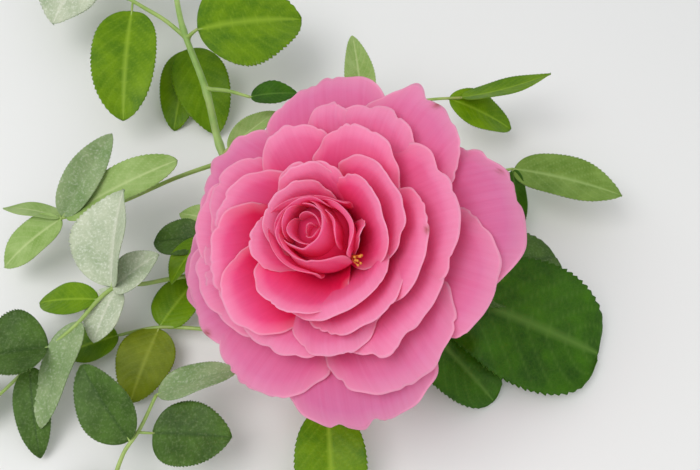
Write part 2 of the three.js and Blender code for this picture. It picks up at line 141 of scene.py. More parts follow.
def flat_rim(x: Array, y: Array, squareness: float) -> Array:
    """How far the disc's upper half is stretched towards a square, 1 where it isn't.

    Args:
        x: across the disc.
        y: from the foot to the rim.
        squareness: the power n of the curve whose x to n plus y to n is one.

    Returns:
        The factor for each point.
    """
    angle = np.arctan2(y, x)
    powers = np.abs(np.cos(angle)) ** squareness + np.abs(np.sin(angle)) ** squareness
    return 1 + (powers ** (-1 / squareness) - 1) * np.hypot(x, y) ** 2 * smooth(y, -0.6, 0.2)


def turned(points: Array, degrees: float) -> Array:
    """Points turned about the z axis."""
    cosine, sine = math.cos(math.radians(degrees)), math.sin(math.radians(degrees))
    spin = np.array([[cosine, -sine, 0], [sine, cosine, 0], [0, 0, 1]])
    return points @ spin.T


def cubic(ends: Sequence[Array], share: Array) -> tuple[Array, Array]:
    """A cubic curve from its four control points, with its unit tangent.

    Args:
        ends: the start, its handle, the end's handle and the end.
        share: how far along, from 0 to 1.

    Returns:
        The points and the tangents.
    """
    t = share[..., None]
    start, first, second, end = ends
    rest = 1 - t
    point = rest**3 * start + 3 * rest**2 * t * first + 3 * rest * t**2 * second + t**3 * end
    slope = rest**2 * (first - start) + 2 * rest * t * (second - first) + t**2 * (end - second)
    return point, unit(slope)


class Path:
    """A smooth curve through points, a centripetal Catmull-Rom spline, read by its length."""

    def __init__(self, points: Sequence[Sequence[float]], fineness: int = 400) -> None:
        """Runs the curve through the points.

        Args:
            points: the places that it passes, in order.
            fineness: how many steps its length is measured in.
        """
        knots = np.array(points, float)
        knots = np.vstack([2 * knots[0] - knots[1], knots, 2 * knots[-1] - knots[-2]])
        share = np.linspace(0, len(points) - 1 - 1e-9, fineness)
        index = share.astype(int)
        around = [knots[index + step] for step in range(4)]
        gaps = [np.linalg.norm(b - a, axis=1, keepdims=True) ** 0.5 for a, b in zip(around, around[1:])]
        # Slopes at the two middle knots, by unevenly spaced differences.
        into = [
            (around[k + 1] - around[k]) / gaps[k]
            - (around[k + 2] - around[k]) / (gaps[k] + gaps[k + 1])
            + (around[k + 2] - around[k + 1]) / gaps[k + 1]
            for k in (0, 1)
        ]
        t = (share - index)[:, None]
        here, there = around[1], around[2]
        slope_here, slope_there = into[0] * gaps[1], into[1] * gaps[1]
        self.fine = (
            here
            + slope_here * t
            + (3 * (there - here) - 2 * slope_here - slope_there) * t**2
            + (2 * (here - there) + slope_here + slope_there) * t**3
        )
        steps = np.linalg.norm(np.diff(self.fine, axis=0), axis=1)
        self.travel = np.concatenate([[0], np.cumsum(steps)])
        self.length = float(self.travel[-1])

    def at(self, share: Array | float) -> Array:
        """The point at a share of the length."""
        where = np.asarray(share, float) * self.length
        return np.stack([np.interp(where, self.travel, self.fine[:, axis]) for axis in range(3)], -1)

    def tangent(self, share: Array | float) -> Array:
        """The unit direction at a share of the length."""
        step = 2.0 / len(self.travel)
        share = np.asarray(share, float)
        return unit(self.at(np.minimum(share + step, 1)) - self.at(np.maximum(share - step, 0)))


# ------------------------------------------------------------------ meshes


@dataclass
class Body:
    """A growing mesh: vertices in mm, faces, and a few numbers kept at each vertex."""

    points: list[Array] = field(default_factory=list)
    faces: list[Array] = field(default_factory=list)
    notes: dict[str, list[Array]] = field(default_factory=dict)
    count: int = 0  # of the vertices so far

    def add(self, points: Array, faces: Iterable[Array], notes: dict[str, Array]) -> None:
        """Adds a closed shape.

        Args:
            points: its vertices, one a row.
            faces: arrays of faces, each of one number of corners.
            notes: numbers for each vertex, by name.
        """
        self.points.append(points)
        self.faces.extend(rows + self.count for rows in faces)
        for name, values in notes.items():
            self.notes.setdefault(name, []).append(values)
        self.count += len(points)

    def sheet(self, surface: Surface, x: Array, y: Array, thickness: Array, notes: dict[str, Array]) -> None:
        """Adds a thin closed shell: a surface of x and y with a thickness across it.

        Args:
            surface: gives the middle of the sheet at x and y.
            x: the first parameter over the grid.
            y: the second parameter over the grid.
            thickness: the sheet's thickness over the grid.
            notes: numbers over the grid, by name.
        """
        middle = surface(x, y)
        step_x = np.where(x > 0, -SLOPE_STEP, SLOPE_STEP)
        step_y = np.where(y > 0, -SLOPE_STEP, SLOPE_STEP)
        across = (surface(x + step_x, y) - middle) * np.sign(step_x)[..., None]
        along = (surface(x, y + step_y) - middle) * np.sign(step_y)[..., None]
        offset = unit(np.cross(across, along)) * (thickness / 2)[..., None]
        points = np.concatenate([(middle + offset).reshape(-1, 3), (middle - offset).reshape(-1, 3)])
        index = np.arange(x.size).reshape(x.shape)
        corners = [index[:-1, :-1], index[1:, :-1], index[1:, 1:], index[:-1, 1:]]
        upper = np.stack(corners, -1).reshape(-1, 4)
        lower = upper[:, ::-1] + x.size
        ring = np.concatenate([index[:, 0], index[-1, 1:], index[-2::-1, -1], index[0, -2:0:-1]])
        following = np.roll(ring, -1)
        rim = np.stack([following, ring, ring + x.size, following + x.size], -1)
        doubled = {name: np.tile(values.ravel(), 2) for name, values in notes.items()}
        doubled["side"] = np.repeat([1.0, 0.0], x.size)
        self.add(points, [upper, lower, rim], doubled)

    def tube(
        self,
        path: Path,
        radius: Profile,
        steps: int,
        notes: dict[str, float] = SMOOTH_SKIN,
        reference: Array = UP,
    ) -> None:
        """Adds a round limb along a path, closed at both ends.

        Each ring is the path's point plus the radius times (cos, sin) in the plane across
        the path, and a middle point closes each end.

        Args:
            path: where it runs.
            radius: its radius at a share of the length.
            steps: rings along it.
            notes: a number for the whole limb, by name.
            reference: a direction that the path never takes.
        """
        share = np.linspace(0, 1, steps)
        turn = np.linspace(0, 2 * math.pi, TUBE_SIDES, endpoint=False)[None, :, None]
        centre, tangent = path.at(share), path.tangent(share)
        side = unit(np.cross(tangent, reference))
        top = np.cross(side, tangent)
        ring = np.cos(turn) * side[:, None] + np.sin(turn) * top[:, None]
        points = centre[:, None] + radius(share)[:, None, None] * ring
        index = np.arange(steps * TUBE_SIDES).reshape(steps, TUBE_SIDES)
        beside = np.roll(index, -1, axis=1)
        walls = np.stack([index[:-1], index[1:], beside[1:], beside[:-1]], -1).reshape(-1, 4)
        first, last = steps * TUBE_SIDES, steps * TUBE_SIDES + 1
        foot = np.stack([beside[0], np.full(TUBE_SIDES, first), index[0]], -1)
        tip = np.stack([index[-1], np.full(TUBE_SIDES, last), beside[-1]], -1)
        everything = np.vstack([points.reshape(-1, 3), centre[:1], centre[-1:]])
        along = np.concatenate([np.repeat(share, TUBE_SIDES), [0.0, 1.0]])
        edge = np.concatenate([np.ones(steps * TUBE_SIDES), [0.0, 0.0]])
        constant = {name: np.full(len(everything), value) for name, value in notes.items()}
        self.add(everything, [walls, foot, tip], {"along": along, "edge": edge, **constant})

    def make(self, name: str, material: Material, slot: str, *nodes: str) -> Piece:
        """Makes the mesh in the frame's metres and hangs it on the part's body.

        Args:
            name: the piece's name.
            material: its finish.
            slot: the record's material slot; not used.
            nodes: the CAD nodes that it stands for.

        Returns:
            The finished object.
        """
        mesh = bpy.data.meshes.new(name)
        points = (np.vstack(self.points) - FOOTPRINT_CENTRE) * MM
        mesh.vertices.add(len(points))
        mesh.vertices.foreach_set("co", points.ravel())
        sizes = np.concatenate([np.full(len(rows), rows.shape[1]) for rows in self.faces])
        corners = np.concatenate([rows.ravel() for rows in self.faces])
        mesh.loops.add(len(corners))
        mesh.loops.foreach_set("vertex_index", corners)
        mesh.polygons.add(len(sizes))
        mesh.polygons.foreach_set("loop_start", np.concatenate([[0], np.cumsum(sizes)[:-1]]))
        mesh.polygons.foreach_set("loop_total", sizes)
        mesh.polygons.foreach_set("use_smooth", np.ones(len(sizes), bool))
        mesh.update(calc_edges=True)
        for key, parts in self.notes.items():
            values = np.concatenate(parts)
            mesh.attributes.new(key, "FLOAT", "POINT").data.foreach_set("value", values.astype(np.float32))
        mesh.materials.append(material)
        piece = bpy.data.objects.new(name, mesh)
        bpy.context.scene.collection.objects.link(piece)
        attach(piece, "root")
        if nodes:
            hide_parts(*nodes)
        triangles = int((sizes - 2).sum())
        LOG.info("%s: %d triangles", name, triangles)
        return piece


# ------------------------------------------------------------------ finishes

Feed = Socket | str | float | tuple[float, ...]  # an output, an sRGB hex colour, or a value


def linear(code: str) -> tuple[float, float, float, float]:
    """An sRGB hex colour as the linear colour that a shader takes."""
    parts = [int(code[place : place + 2], 16) / 255 for place in (0, 2, 4)]
    red, green, blue = (c / 12.92 if c <= 0.04045 else ((c + 0.055) / 1.055) ** 2.4 for c in parts)
    return red, green, blue, 1.0


class Skin:
    """A new material's nodes: the principled shader and what feeds it."""

    def __init__(self, name: str, roughness: float, gloss: float | None = None) -> None:
        """Starts the material.

        Args:
            name: the material's name.
            roughness: how matt it is.
            gloss: its specular level, where it isn't the usual one.
        """
        self.material = bpy.data.materials.new(name)
        self.material.use_nodes = True
        self.tree = self.material.node_tree
        self.shader = self.tree.nodes["Principled BSDF"]
        self.set("Roughness", roughness)
        if gloss is not None:
            self.set("Specular IOR Level", gloss)

    def feed(self, entry: Socket, source: Feed) -> None:
        """Links an input to an output, or gives it a colour or a value."""
        if isinstance(source, Socket):
            self.tree.links.new(source, entry)
        else:
            entry.default_value = linear(source) if isinstance(source, str) else source

    def set(self, key: str, source: Feed) -> None:
        """Feeds one of the principled shader's own inputs."""
        self.feed(self.shader.inputs[key], source)

    def node(self, kind: str, inputs: dict[str | int, Feed] | None = None, **settings: str) -> bpy.types.Node:
        """Adds a node.

        Args:
            kind: its type, without the leading ShaderNode.
            inputs: what feeds each input.
            settings: the node's own settings.

        Returns:
            The new node.
        """
        made = self.tree.nodes.new("ShaderNode" + kind)
        for name, value in settings.items():
            setattr(made, name, value)
        for key, source in (inputs or {}).items():
            self.feed(made.inputs[key], source)
        return made

    def attribute(self, name: str) -> Socket:
        """A number kept at the mesh's vertices."""
        return self.node("Attribute", attribute_name=name).outputs["Fac"]

    def place(self) -> Socket:
        """The point's place in the object's own coordinates, in metres."""
        return self.node("TexCoord").outputs["Object"]

    def noise(self, place: Feed, scale: float, detail: float, roughness: float) -> Socket:
        """Cloudy noise with lumps of one over the scale."""
        inputs = {"Vector": place, "Scale": scale, "Detail": detail, "Roughness": roughness}
        return self.node("TexNoise", inputs).outputs["Fac"]

    def spread(self, source: Feed, start: tuple[float, float], end: tuple[float, float]) -> Socket:
        """A number moved evenly from one range to another, and kept inside it."""
        limits = dict(zip(("From Min", "From Max", "To Min", "To Max"), (*start, *end)))
        return self.node("MapRange", {"Value": source, **limits}).outputs["Result"]

    def combine(self, operation: str, first: Feed, second: Feed) -> Socket:
        """Two numbers made one by a mathematical operation."""
        return self.node("Math", {0: first, 1: second}, operation=operation).outputs["Value"]

    def mix(self, share: Feed, first: Feed, second: Feed, blend: str = "MIX") -> Socket:
        """The first colour turned into the second by a share of 0 to 1."""
        inputs = {"Factor": share, "A": first, "B": second}
        return self.node("Mix", inputs, data_type="RGBA", blend_type=blend).outputs["Result"]

    def ramp(self, share: Feed, *stops: tuple[float, str]) -> Socket:
        """A ramp of colours, each stop a place and an sRGB hex colour."""
        made = self.node("ValToRGB", {"Fac": share})
        elements = made.color_ramp.elements
        while len(elements) < len(stops):
            elements.new(0.5)
        for element, (place, code) in zip(elements, stops):
            element.position = place
            element.color = linear(code)
        return made.outputs["Color"]

    def relief(self, height: Feed, strength: float, depth: float) -> Socket:
        """Gives the shader a bumpy normal.

        Args:
            height: how high each point is, from 0 to 1.
            strength: how much of the relief shows.
            depth: from its lowest to its highest point, in mm.

        Returns:
            The normal.
        """
        bump = self.node("Bump", {"Height": height, "Strength": strength, "Distance": depth * MM})
        self.set("Normal", bump.outputs["Normal"])
        return bump.outputs["Normal"]

    def light_through(self, share: Feed, colour: str, normal: Feed) -> None:
        """Lets light pass through the surface.

        Args:
            share: how much of the surface's light comes through it.
            colour: of that light.
            normal: the surface's bumpy normal.
        """
        through = self.node("BsdfTranslucent", {"Normal": normal, "Color": colour})
        both = self.node("MixShader", {0: share, 1: self.shader.outputs["BSDF"], 2: through.outputs["BSDF"]})
        self.tree.links.new(both.outputs["Shader"], self.tree.nodes["Material Output"].inputs["Surface"])


@dataclass(frozen=True)
class PetalFinish:
    """Living rose petal: a thin velvety skin over moist cells, a pale line of painted light at its thin rim,
    and a deep pink foot that is partly painted crease shade.
    """

    name: str = "rose_petal"
    foot: str = "FC2466"
    middle: str = "FF68A6"
    upper: str = "FF9ECC"
    rim: str = "FFC4DE"
    faded: str = "D088B6"
    vein: str = "F2B4D0"
    bruise: str = "9A5A3C"
    glow: str = "FF8CBE"  # of the light that passes through
    vein_spacing: float = 0.9  # mm, drawn about twice as coarse as life so that it shows

    def material(self) -> Material:
        """Builds the petal's nodes.

        Returns:
            The material.
        """
        skin = Skin(self.name, roughness=0.5, gloss=0.1)
        along, rim, tone = (skin.attribute(key) for key in ("along", "rim", "tone"))
        # Deep pink towards the foot: partly the petal's own colour, partly painted crease shade where the
        # petals fold together.
        blade = skin.ramp(along, (0.3, self.foot), (0.65, self.middle), (0.96, self.upper))
        # Outer petals fade towards lavender.
        faded = skin.mix(tone, blade, self.faded)
        # Veins run from the foot to the rim: noise that is stretched along the petal.
        place = skin.node("CombineXYZ", {"X": skin.attribute("sideways"), "Y": along, "Z": tone})
        veins = skin.noise(place.outputs["Vector"], 1 / self.vein_spacing, 3.0, 0.55)
        veined = skin.mix(skin.spread(veins, (0.35, 0.7), (0.0, 0.36)), faded, self.vein, "MULTIPLY")
        # The rim gets a pale line of painted light, standing in for the light that comes through the thin
        # rim.
        line = skin.ramp(rim, (0.78, "000000"), (0.965, "A0A0A0"), (0.985, "E0E0E0"))
        painted_rim_light = skin.mix(line, veined, self.rim)
        skin.set("Base Color", skin.mix(skin.attribute("bruise"), painted_rim_light, self.bruise))
        skin.light_through(skin.attribute("thin"), self.glow, skin.relief(veins, 0.5, 0.2))
        return skin.material


@dataclass(frozen=True)
class LeafFinish:
    """Living rose leaf: a waxy cuticle over green cells, sunken veins, a paler underside."""

    name: str
    dark: str
    light: str
    vein: str
    underside: str
    # The pale specks are painted highlights: fine glints standing in for the light that the waxy skin
    # catches.
    painted_glint: str
    painted_glint_share: float = 0.0
    roughness: float = 0.42
    patch_size: float = 9.0  # mm, of the lighter and darker patches
    cell_size: float = 1.3  # mm between the smallest veins, coarser than life so that they show
    grain_size: float = 0.8  # mm

    def material(self) -> Material:
        """Builds the leaf's nodes.

        Returns:
            The material.
        """
        skin = Skin(self.name, self.roughness, gloss=0.15)
        place = skin.place()
        patches = skin.noise(place, 1 / (self.patch_size * MM), 4.0, 0.6)
        blade = skin.ramp(patches, (0.3, self.dark), (0.7, self.light))
        net = {"Vector": place, "Scale": 1 / (self.cell_size * MM)}
        cells = skin.node("TexVoronoi", net, feature="DISTANCE_TO_EDGE").outputs["Distance"]
        netted = skin.spread(cells, (0.0, 0.12), (0.12, 0.0))
        veined = skin.mix(skin.combine("MAXIMUM", skin.attribute("vein"), netted), blade, self.vein)
        grain = skin.noise(place, 1 / (self.grain_size * MM), 2.0, 0.7)
        # Pale specks painted over the blade: painted glints.
        top = skin.mix(skin.spread(grain, (0.5, 0.75), (0.0, self.painted_glint_share)), veined, self.painted_glint)
        skin.set("Base Color", skin.mix(skin.attribute("side"), self.underside, top))
        skin.relief(skin.combine("ADD", cells, grain), 0.4, 0.15)
        return skin.material


@dataclass(frozen=True)
class StemFinish:
    """Green rose bark or the skin of a hip: smooth, finely pored, waxy."""

    name: str
    green: str
    pale: str
    flush: str  # the reddish side that has had the sun
    flushed: float = 0.25
    pith: str = "DDE0B4"
    roughness: float = 0.4
    patch_size: float = 7.0  # mm, of the paler patches
    flush_size: float = 16.0  # mm, of the reddish ones
    pore_size: float = 0.6  # mm

    def material(self) -> Material:
        """Builds the stem's nodes.

        Returns:
            The material.
        """
        skin = Skin(self.name, self.roughness)
        place = skin.place()
        patches = skin.noise(place, 1 / (self.patch_size * MM), 3.0, 0.6)
        bark = skin.ramp(patches, (0.3, self.green), (0.7, self.pale))
        warm = skin.noise(place, 1 / (self.flush_size * MM), 2.0, 0.5)
        flushed = skin.mix(skin.spread(warm, (0.52, 0.7), (0.0, self.flushed)), bark, self.flush)
        # The cut end's middle is pale pith.
        skin.set("Base Color", skin.mix(skin.attribute("edge"), self.pith, flushed))
        skin.relief(skin.noise(place, 1 / (self.pore_size * MM), 3.0, 0.6), 0.3, 0.1)
        skin.set("Subsurface Weight", 0.1)
        skin.set("Subsurface Radius", (0.5, 1.0, 0.3))
        skin.set("Subsurface Scale", 0.8 * MM)
        return skin.material


class Green(Enum):
    """The leaf finishes that the branch has."""

    DEEP = LeafFinish("deep_green_leaf", "204400", "3A6800", "5C8030", "5A7C34", "62803C")
    BRIGHT = LeafFinish("bright_green_leaf", "466E00", "6E9000", "8CAA2C", "7E9A3C", "98B048")
    FRESH = LeafFinish("fresh_green_leaf", "7A9A44", "A0B870", "BCCC8C", "9FB37A", "C4D29C")
    # The pale grey-green and dense pale specks of this finish are painted sheen, standing in for the sky
    # reflected in the glossy blade.
    PAINTED_SHEEN = LeafFinish("painted_sheen_leaf", "98A884", "C2C8AC", "D0D2BC", "9AAE88", "E8EADC", 0.6, 0.4)
    GREY = LeafFinish("grey_green_leaf", "6E8A52", "94A676", "7E9462", "8A9C74", "CCD2BC", 0.45, 0.42)
    DULL = LeafFinish("dull_green_leaf", "344E18", "50702A", "2E4818", "6A8448", "94A674", 0.25)
    SOFT = LeafFinish("soft_green_leaf", "5C7C28", "809C48", "9AB468", "86A058", "A8BC78")
    OLIVE = LeafFinish("olive_leaf", "586800", "788614", "8E9A30", "7E8C38", "96A048")


# ------------------------------------------------------------------ the bloom


@dataclass(frozen=True)
class Whorl:
    """How the petals of one whorl stand, angles in degrees and sizes in mm."""

    start: float  # the midline's slope at the seat
    lean: float  # its slope at the rim
    cup: float  # how far the foot wraps round the bloom's axis
    flare: float  # how far the rim does
    roll: float  # how far the rim rolls back
    seat: tuple[float, float]  # radius and height of the foot
    claw: float  # the foot's width as a share of the petal's
    ruffle: float  # how far the rim waves
    faded: float  # how far the colour fades to lavender
    deep: float  # how far up the foot's deep pink reaches, partly the petal's own colour and partly painted crease shade: 1 is a third of the way


class Ring(Enum):
    """The bloom's whorls from its heart outwards."""

    HEART = Whorl(86, 92, 1.0, 1.0, 0.3, (2.0, 4.0), 0.6, 0.15, 0.0, 1.1)
    INNER = Whorl(78, 62, 0.95, 0.55, 0.8, (3.0, 3.0), 0.45, 0.25, 0.0, 1.5)
    SECOND = Whorl(66, 50, 0.85, 0.45, 0.9, (3.4, 2.0), 0.42, 0.3, 0.03, 1.3)
    THIRD = Whorl(52, 38, 0.8, 0.35, 1.0, (3.8, 1.0), 0.4, 0.35, 0.08, 1.4)
    FOURTH = Whorl(42, 20, 0.65, 0.2, 1.2, (4.2, 0.2), 0.36, 0.5, 0.2, 1.0)
    OUTER = Whorl(30, -2, 0.45, 0.0, 1.4, (3.8, -0.8), 0.34, 0.6, 0.48, 1.0)
    GUARD = Whorl(20, -18, 0.3, -0.1, 1.5, (3.4, -1.5), 0.34, 0.6, 0.8, 1.2)


@dataclass(frozen=True, kw_only=True)
class Tint:
    """How a petal is coloured, whatever its shape."""

    deep: float | None = None  # as the whorl's, where the petal has its own
    spot: tuple[float, float, float] | None = None  # a brown bruise: place on the disc, and size
    thin: float = 0.4  # how much of its light comes through it

    def notes(self, x: Array, y: Array, seed: int) -> dict[str, Array]:
        """The numbers that the petal finish reads.

        Args:
            x: across the disc.
            y: from the foot to the rim.
            seed: for how far the colour has faded.

        Returns:
            The numbers over the disc, by name.
        """
        whorl, along = self.ring.value, up_petal(y)
        faded = whorl.faded + 0.08 * math.sin(5.0 * seed)
        bruise = np.zeros_like(x)
        if self.spot:
            east, north, size = self.spot
            bruise = bell(np.hypot(x - east, y - north), size)
        return {
            "along": along ** (self.deep or whorl.deep),
            "rim": np.hypot(x, y) * smooth(y, -0.5, 0.0),
            "sideways": self.width / 2 * x,
            "tone": np.clip(faded * (0.5 + 0.5 * along), 0, 1),
            "bruise": bruise,
            "thin": np.full_like(x, self.thin),
        }


@dataclass(frozen=True)
class Petal(Tint):
    """One petal, in the bloom's own frame: its seat at the origin and the axis up."""

    ring: Ring
    direction: float  # degrees round the axis
    reach: float  # of the rim from the axis, mm
    rise: float  # of the rim above the seat, mm
    width: float  # mm
    marks: tuple[tuple[float, float, float], ...] = ()  # lobes and nicks: angle, depth in mm, spread
    lean: float | None = None  # as the whorl's, where the petal has its own
    roll: float | None = None  # likewise
    tuck: float = 0.0  # how far its left side goes under its neighbour and its right side over, mm
    squareness: float = 2.35  # 2 is an ellipse, more is a flatter rim
    handles: tuple[float, float] = (0.42, 0.38)  # of the midline's curve, as shares of its span
    full_width: float = 0.62  # how far up it has its full width
    ripple: float = 0.015  # of its outline
    swell: float = 0.35  # mm, of the soft bumps in its blade
    pleats: float = 0.1  # mm, of the fine folds along it

    def surface(self, seed: int) -> Surface:
        """The petal's middle surface.

        The midline is a cubic curve from seat to rim. Each cross-section is an arc whose
        bend is the distance from the midline times the cup over the distance from the
        axis. The rim rolls back, waves and has its own nicks.

        Args:
            seed: for the waves and nicks.

        Returns:
            A function from the disc to points.
        """
        form = self.ring.value
        spin = np.random.default_rng(seed)
        phases = spin.uniform(0, 2 * math.pi, 8)
        waves = int(spin.integers(3, 6))
        nicks = [
            (spin.uniform(20, 160), -spin.uniform(0.3, 0.9), spin.uniform(2, 4)) for _ in range(NICKS)
        ]
        seat, rim = np.array(form.seat), np.array([self.reach, self.rise])
        span = float(np.linalg.norm(rim - seat))
        lean = math.radians(form.lean if self.lean is None else self.lean)
        start = math.radians(form.start)
        roll = form.roll if self.roll is None else self.roll
        ends = (
            seat,
            seat + self.handles[0] * span * np.array([math.cos(start), math.sin(start)]),
            rim - self.handles[1] * span * np.array([math.cos(lean), math.sin(lean)]),
            rim,
        )

        def surface(x: Array, y: Array) -> Array:
            angle, radius = np.degrees(np.arctan2(y, x)), np.hypot(x, y)
            scale = flat_rim(x, y, self.squareness)
            for place, depth, spread in (*self.marks, *nicks):
                offset = (angle - place + 180) % 360 - 180
                scale = scale + depth / PETAL_SIZE * bell(offset, spread) * radius**4
            for wave, phase in enumerate(phases[3:]):
                ripple = np.sin(np.radians(angle) * (4 + 3 * wave) + phase)
                scale = scale + self.ripple / (1 + 0.3 * wave) * ripple * radius**6
            x, y = x * scale, y * scale
            along = up_petal(y)
            middle, tangent = cubic(ends, along)
            share = form.claw + (1 - form.claw) * np.clip(along / self.full_width, 0, 1) ** 0.9
            across = self.width / 2 * x * share
            bend = form.cup + (form.flare - form.cup) * np.clip(along, 0, 1)
            wrap = across * bend / np.maximum(middle[..., 0], TIGHTEST)
            sideways = across * np.sinc(wrap / math.pi)
            top = smooth(y, -0.7, 0.2)
            ruffle = 0.7 * np.sin(np.radians(angle) * waves + phases[0])
            ruffle = ruffle + 0.3 * np.sin(np.radians(angle) * (2 * waves + 1) + phases[1])
            swell = self.swell * np.sin(3.1 * x + phases[2]) * np.sin(2.6 * y + phases[3]) * top
            pleats = np.sin(11 * x / (0.35 + 0.65 * along) + phases[4]) * np.sin(5 * x + phases[5])
            swell = swell + self.pleats * pleats * smooth(radius, 0.35, 0.95) * top
            inwards = across * wrap / 2 * np.sinc(wrap / (2 * math.pi)) ** 2
            inwards = inwards - self.tuck * x * smooth(along, 0.15, 0.7)
            inwards = inwards - roll * smooth(radius, 0.78, 1.02) * smooth(y, -0.5, 0.4)
            inwards = inwards + form.ruffle * ruffle * smooth(radius, 0.45, 1.0) * top + swell
            points = np.stack([
                middle[..., 0] - inwards * tangent[..., 1],
                sideways,
                middle[..., 1] + inwards * tangent[..., 0],
            ], -1)
            return turned(points, self.direction)

        return surface


@dataclass(frozen=True)
class Wrap(Tint):
    """A furled petal of the heart, wrapped round an upright line of its own like a bud's."""

    centre: tuple[float, float]  # where that line stands, in the bloom's own frame, mm
    direction: float  # where its back faces
    half_turn: float  # how far it wraps to each side, in degrees
    radius: float  # of the rim round the line, mm
    rise: float  # of the rim above the seat, mm
    belly: float = 1.6  # how far it swells below its rim
    spiral: float = 0.0  # how much wider one side stands than the other
    lip: float = 0.45  # how far the rim turns out
    fall: float = 1.2  # how much lower its sides are
    notch: float = 0.0  # depth of a fold in its rim
    notch_at: float = 0.0  # where, from -1 at its right end to 1 at its left
    foot: tuple[float, float] = (2.0, 10.0)  # radius and height of the foot
    squareness: float = 5.0  # as a petal's
    ripple: float = 0.035  # of its outline
    sway: float = 0.16  # mm, of the waves in its wall
    crest: float = 0.4  # mm, of the waves in its rim's height
    ring: Ring = Ring.HEART
    thin: float = field(default=0.66, kw_only=True)  # the furled petals glow more

    @property
    def width(self) -> float:
        """The petal's width along its arc, in mm."""
        return 2 * math.radians(self.half_turn) * self.radius

    def surface(self, seed: int) -> Surface:
        """The furled petal's middle surface.

        The profile from foot to rim is a cubic curve of radius and height, swollen under
        the rim, and it is swept round the upright line. The rim turns out, waves a
        little, falls towards the sides and may be folded somewhere.

        Args:
            seed: for the waves.

        Returns:
            A function from the disc to points.
        """
        phases = np.random.default_rng(seed).uniform(0, 2 * math.pi, 3)
        tall = self.rise - self.foot[1]
        ends = np.array([
            self.foot,
            (self.radius + 0.9 * self.belly, self.foot[1] + 0.3 * tall),
            (self.radius + 1.3 * self.belly, self.rise - 0.28 * tall),
            (self.radius, self.rise),
        ])

        def surface(x: Array, y: Array) -> Array:
            distance = np.hypot(x, y)
            scale = flat_rim(x, y, self.squareness)
            scale = scale + self.ripple * np.sin(7 * np.arctan2(y, x) + phases[0]) * distance**6
            x, y = x * scale, y * scale
            along = up_petal(y)
            profile, _ = cubic(ends, along)
            turned_out = smooth(distance, 0.74, 1.0) * smooth(y, -0.2, 0.45)
            across = x * (0.45 + 0.55 * np.clip(along / 0.6, 0, 1))
            round_to = math.radians(self.direction) + math.radians(self.half_turn) * across
            radius = profile[..., 0] + 0.5 * self.spiral * across * along + self.lip * turned_out
            radius = radius + self.sway * np.sin(4 * x + phases[1]) * smooth(y, -0.2, 0.6)
            fold = self.notch * bell(x - self.notch_at, 0.12)
            fold = fold * smooth(distance, 0.5, 1.0) * smooth(y, 0.1, 0.8)
            radius = radius + 0.3 * fold
            height = profile[..., 1] - self.fall * across**2 * along - 0.35 * self.lip * turned_out**2 - fold
            height = height + self.crest * np.sin(4 * x + phases[2]) * smooth(y, 0.0, 0.8)
            lean = np.clip(along, 0, 1) ** 0.7  # the line leaves the bloom's axis as it rises
            east = self.centre[0] * lean + radius * np.cos(round_to)
            north = self.centre[1] * lean + radius * np.sin(round_to)
            return np.stack([east, north, height], -1)

        return surface


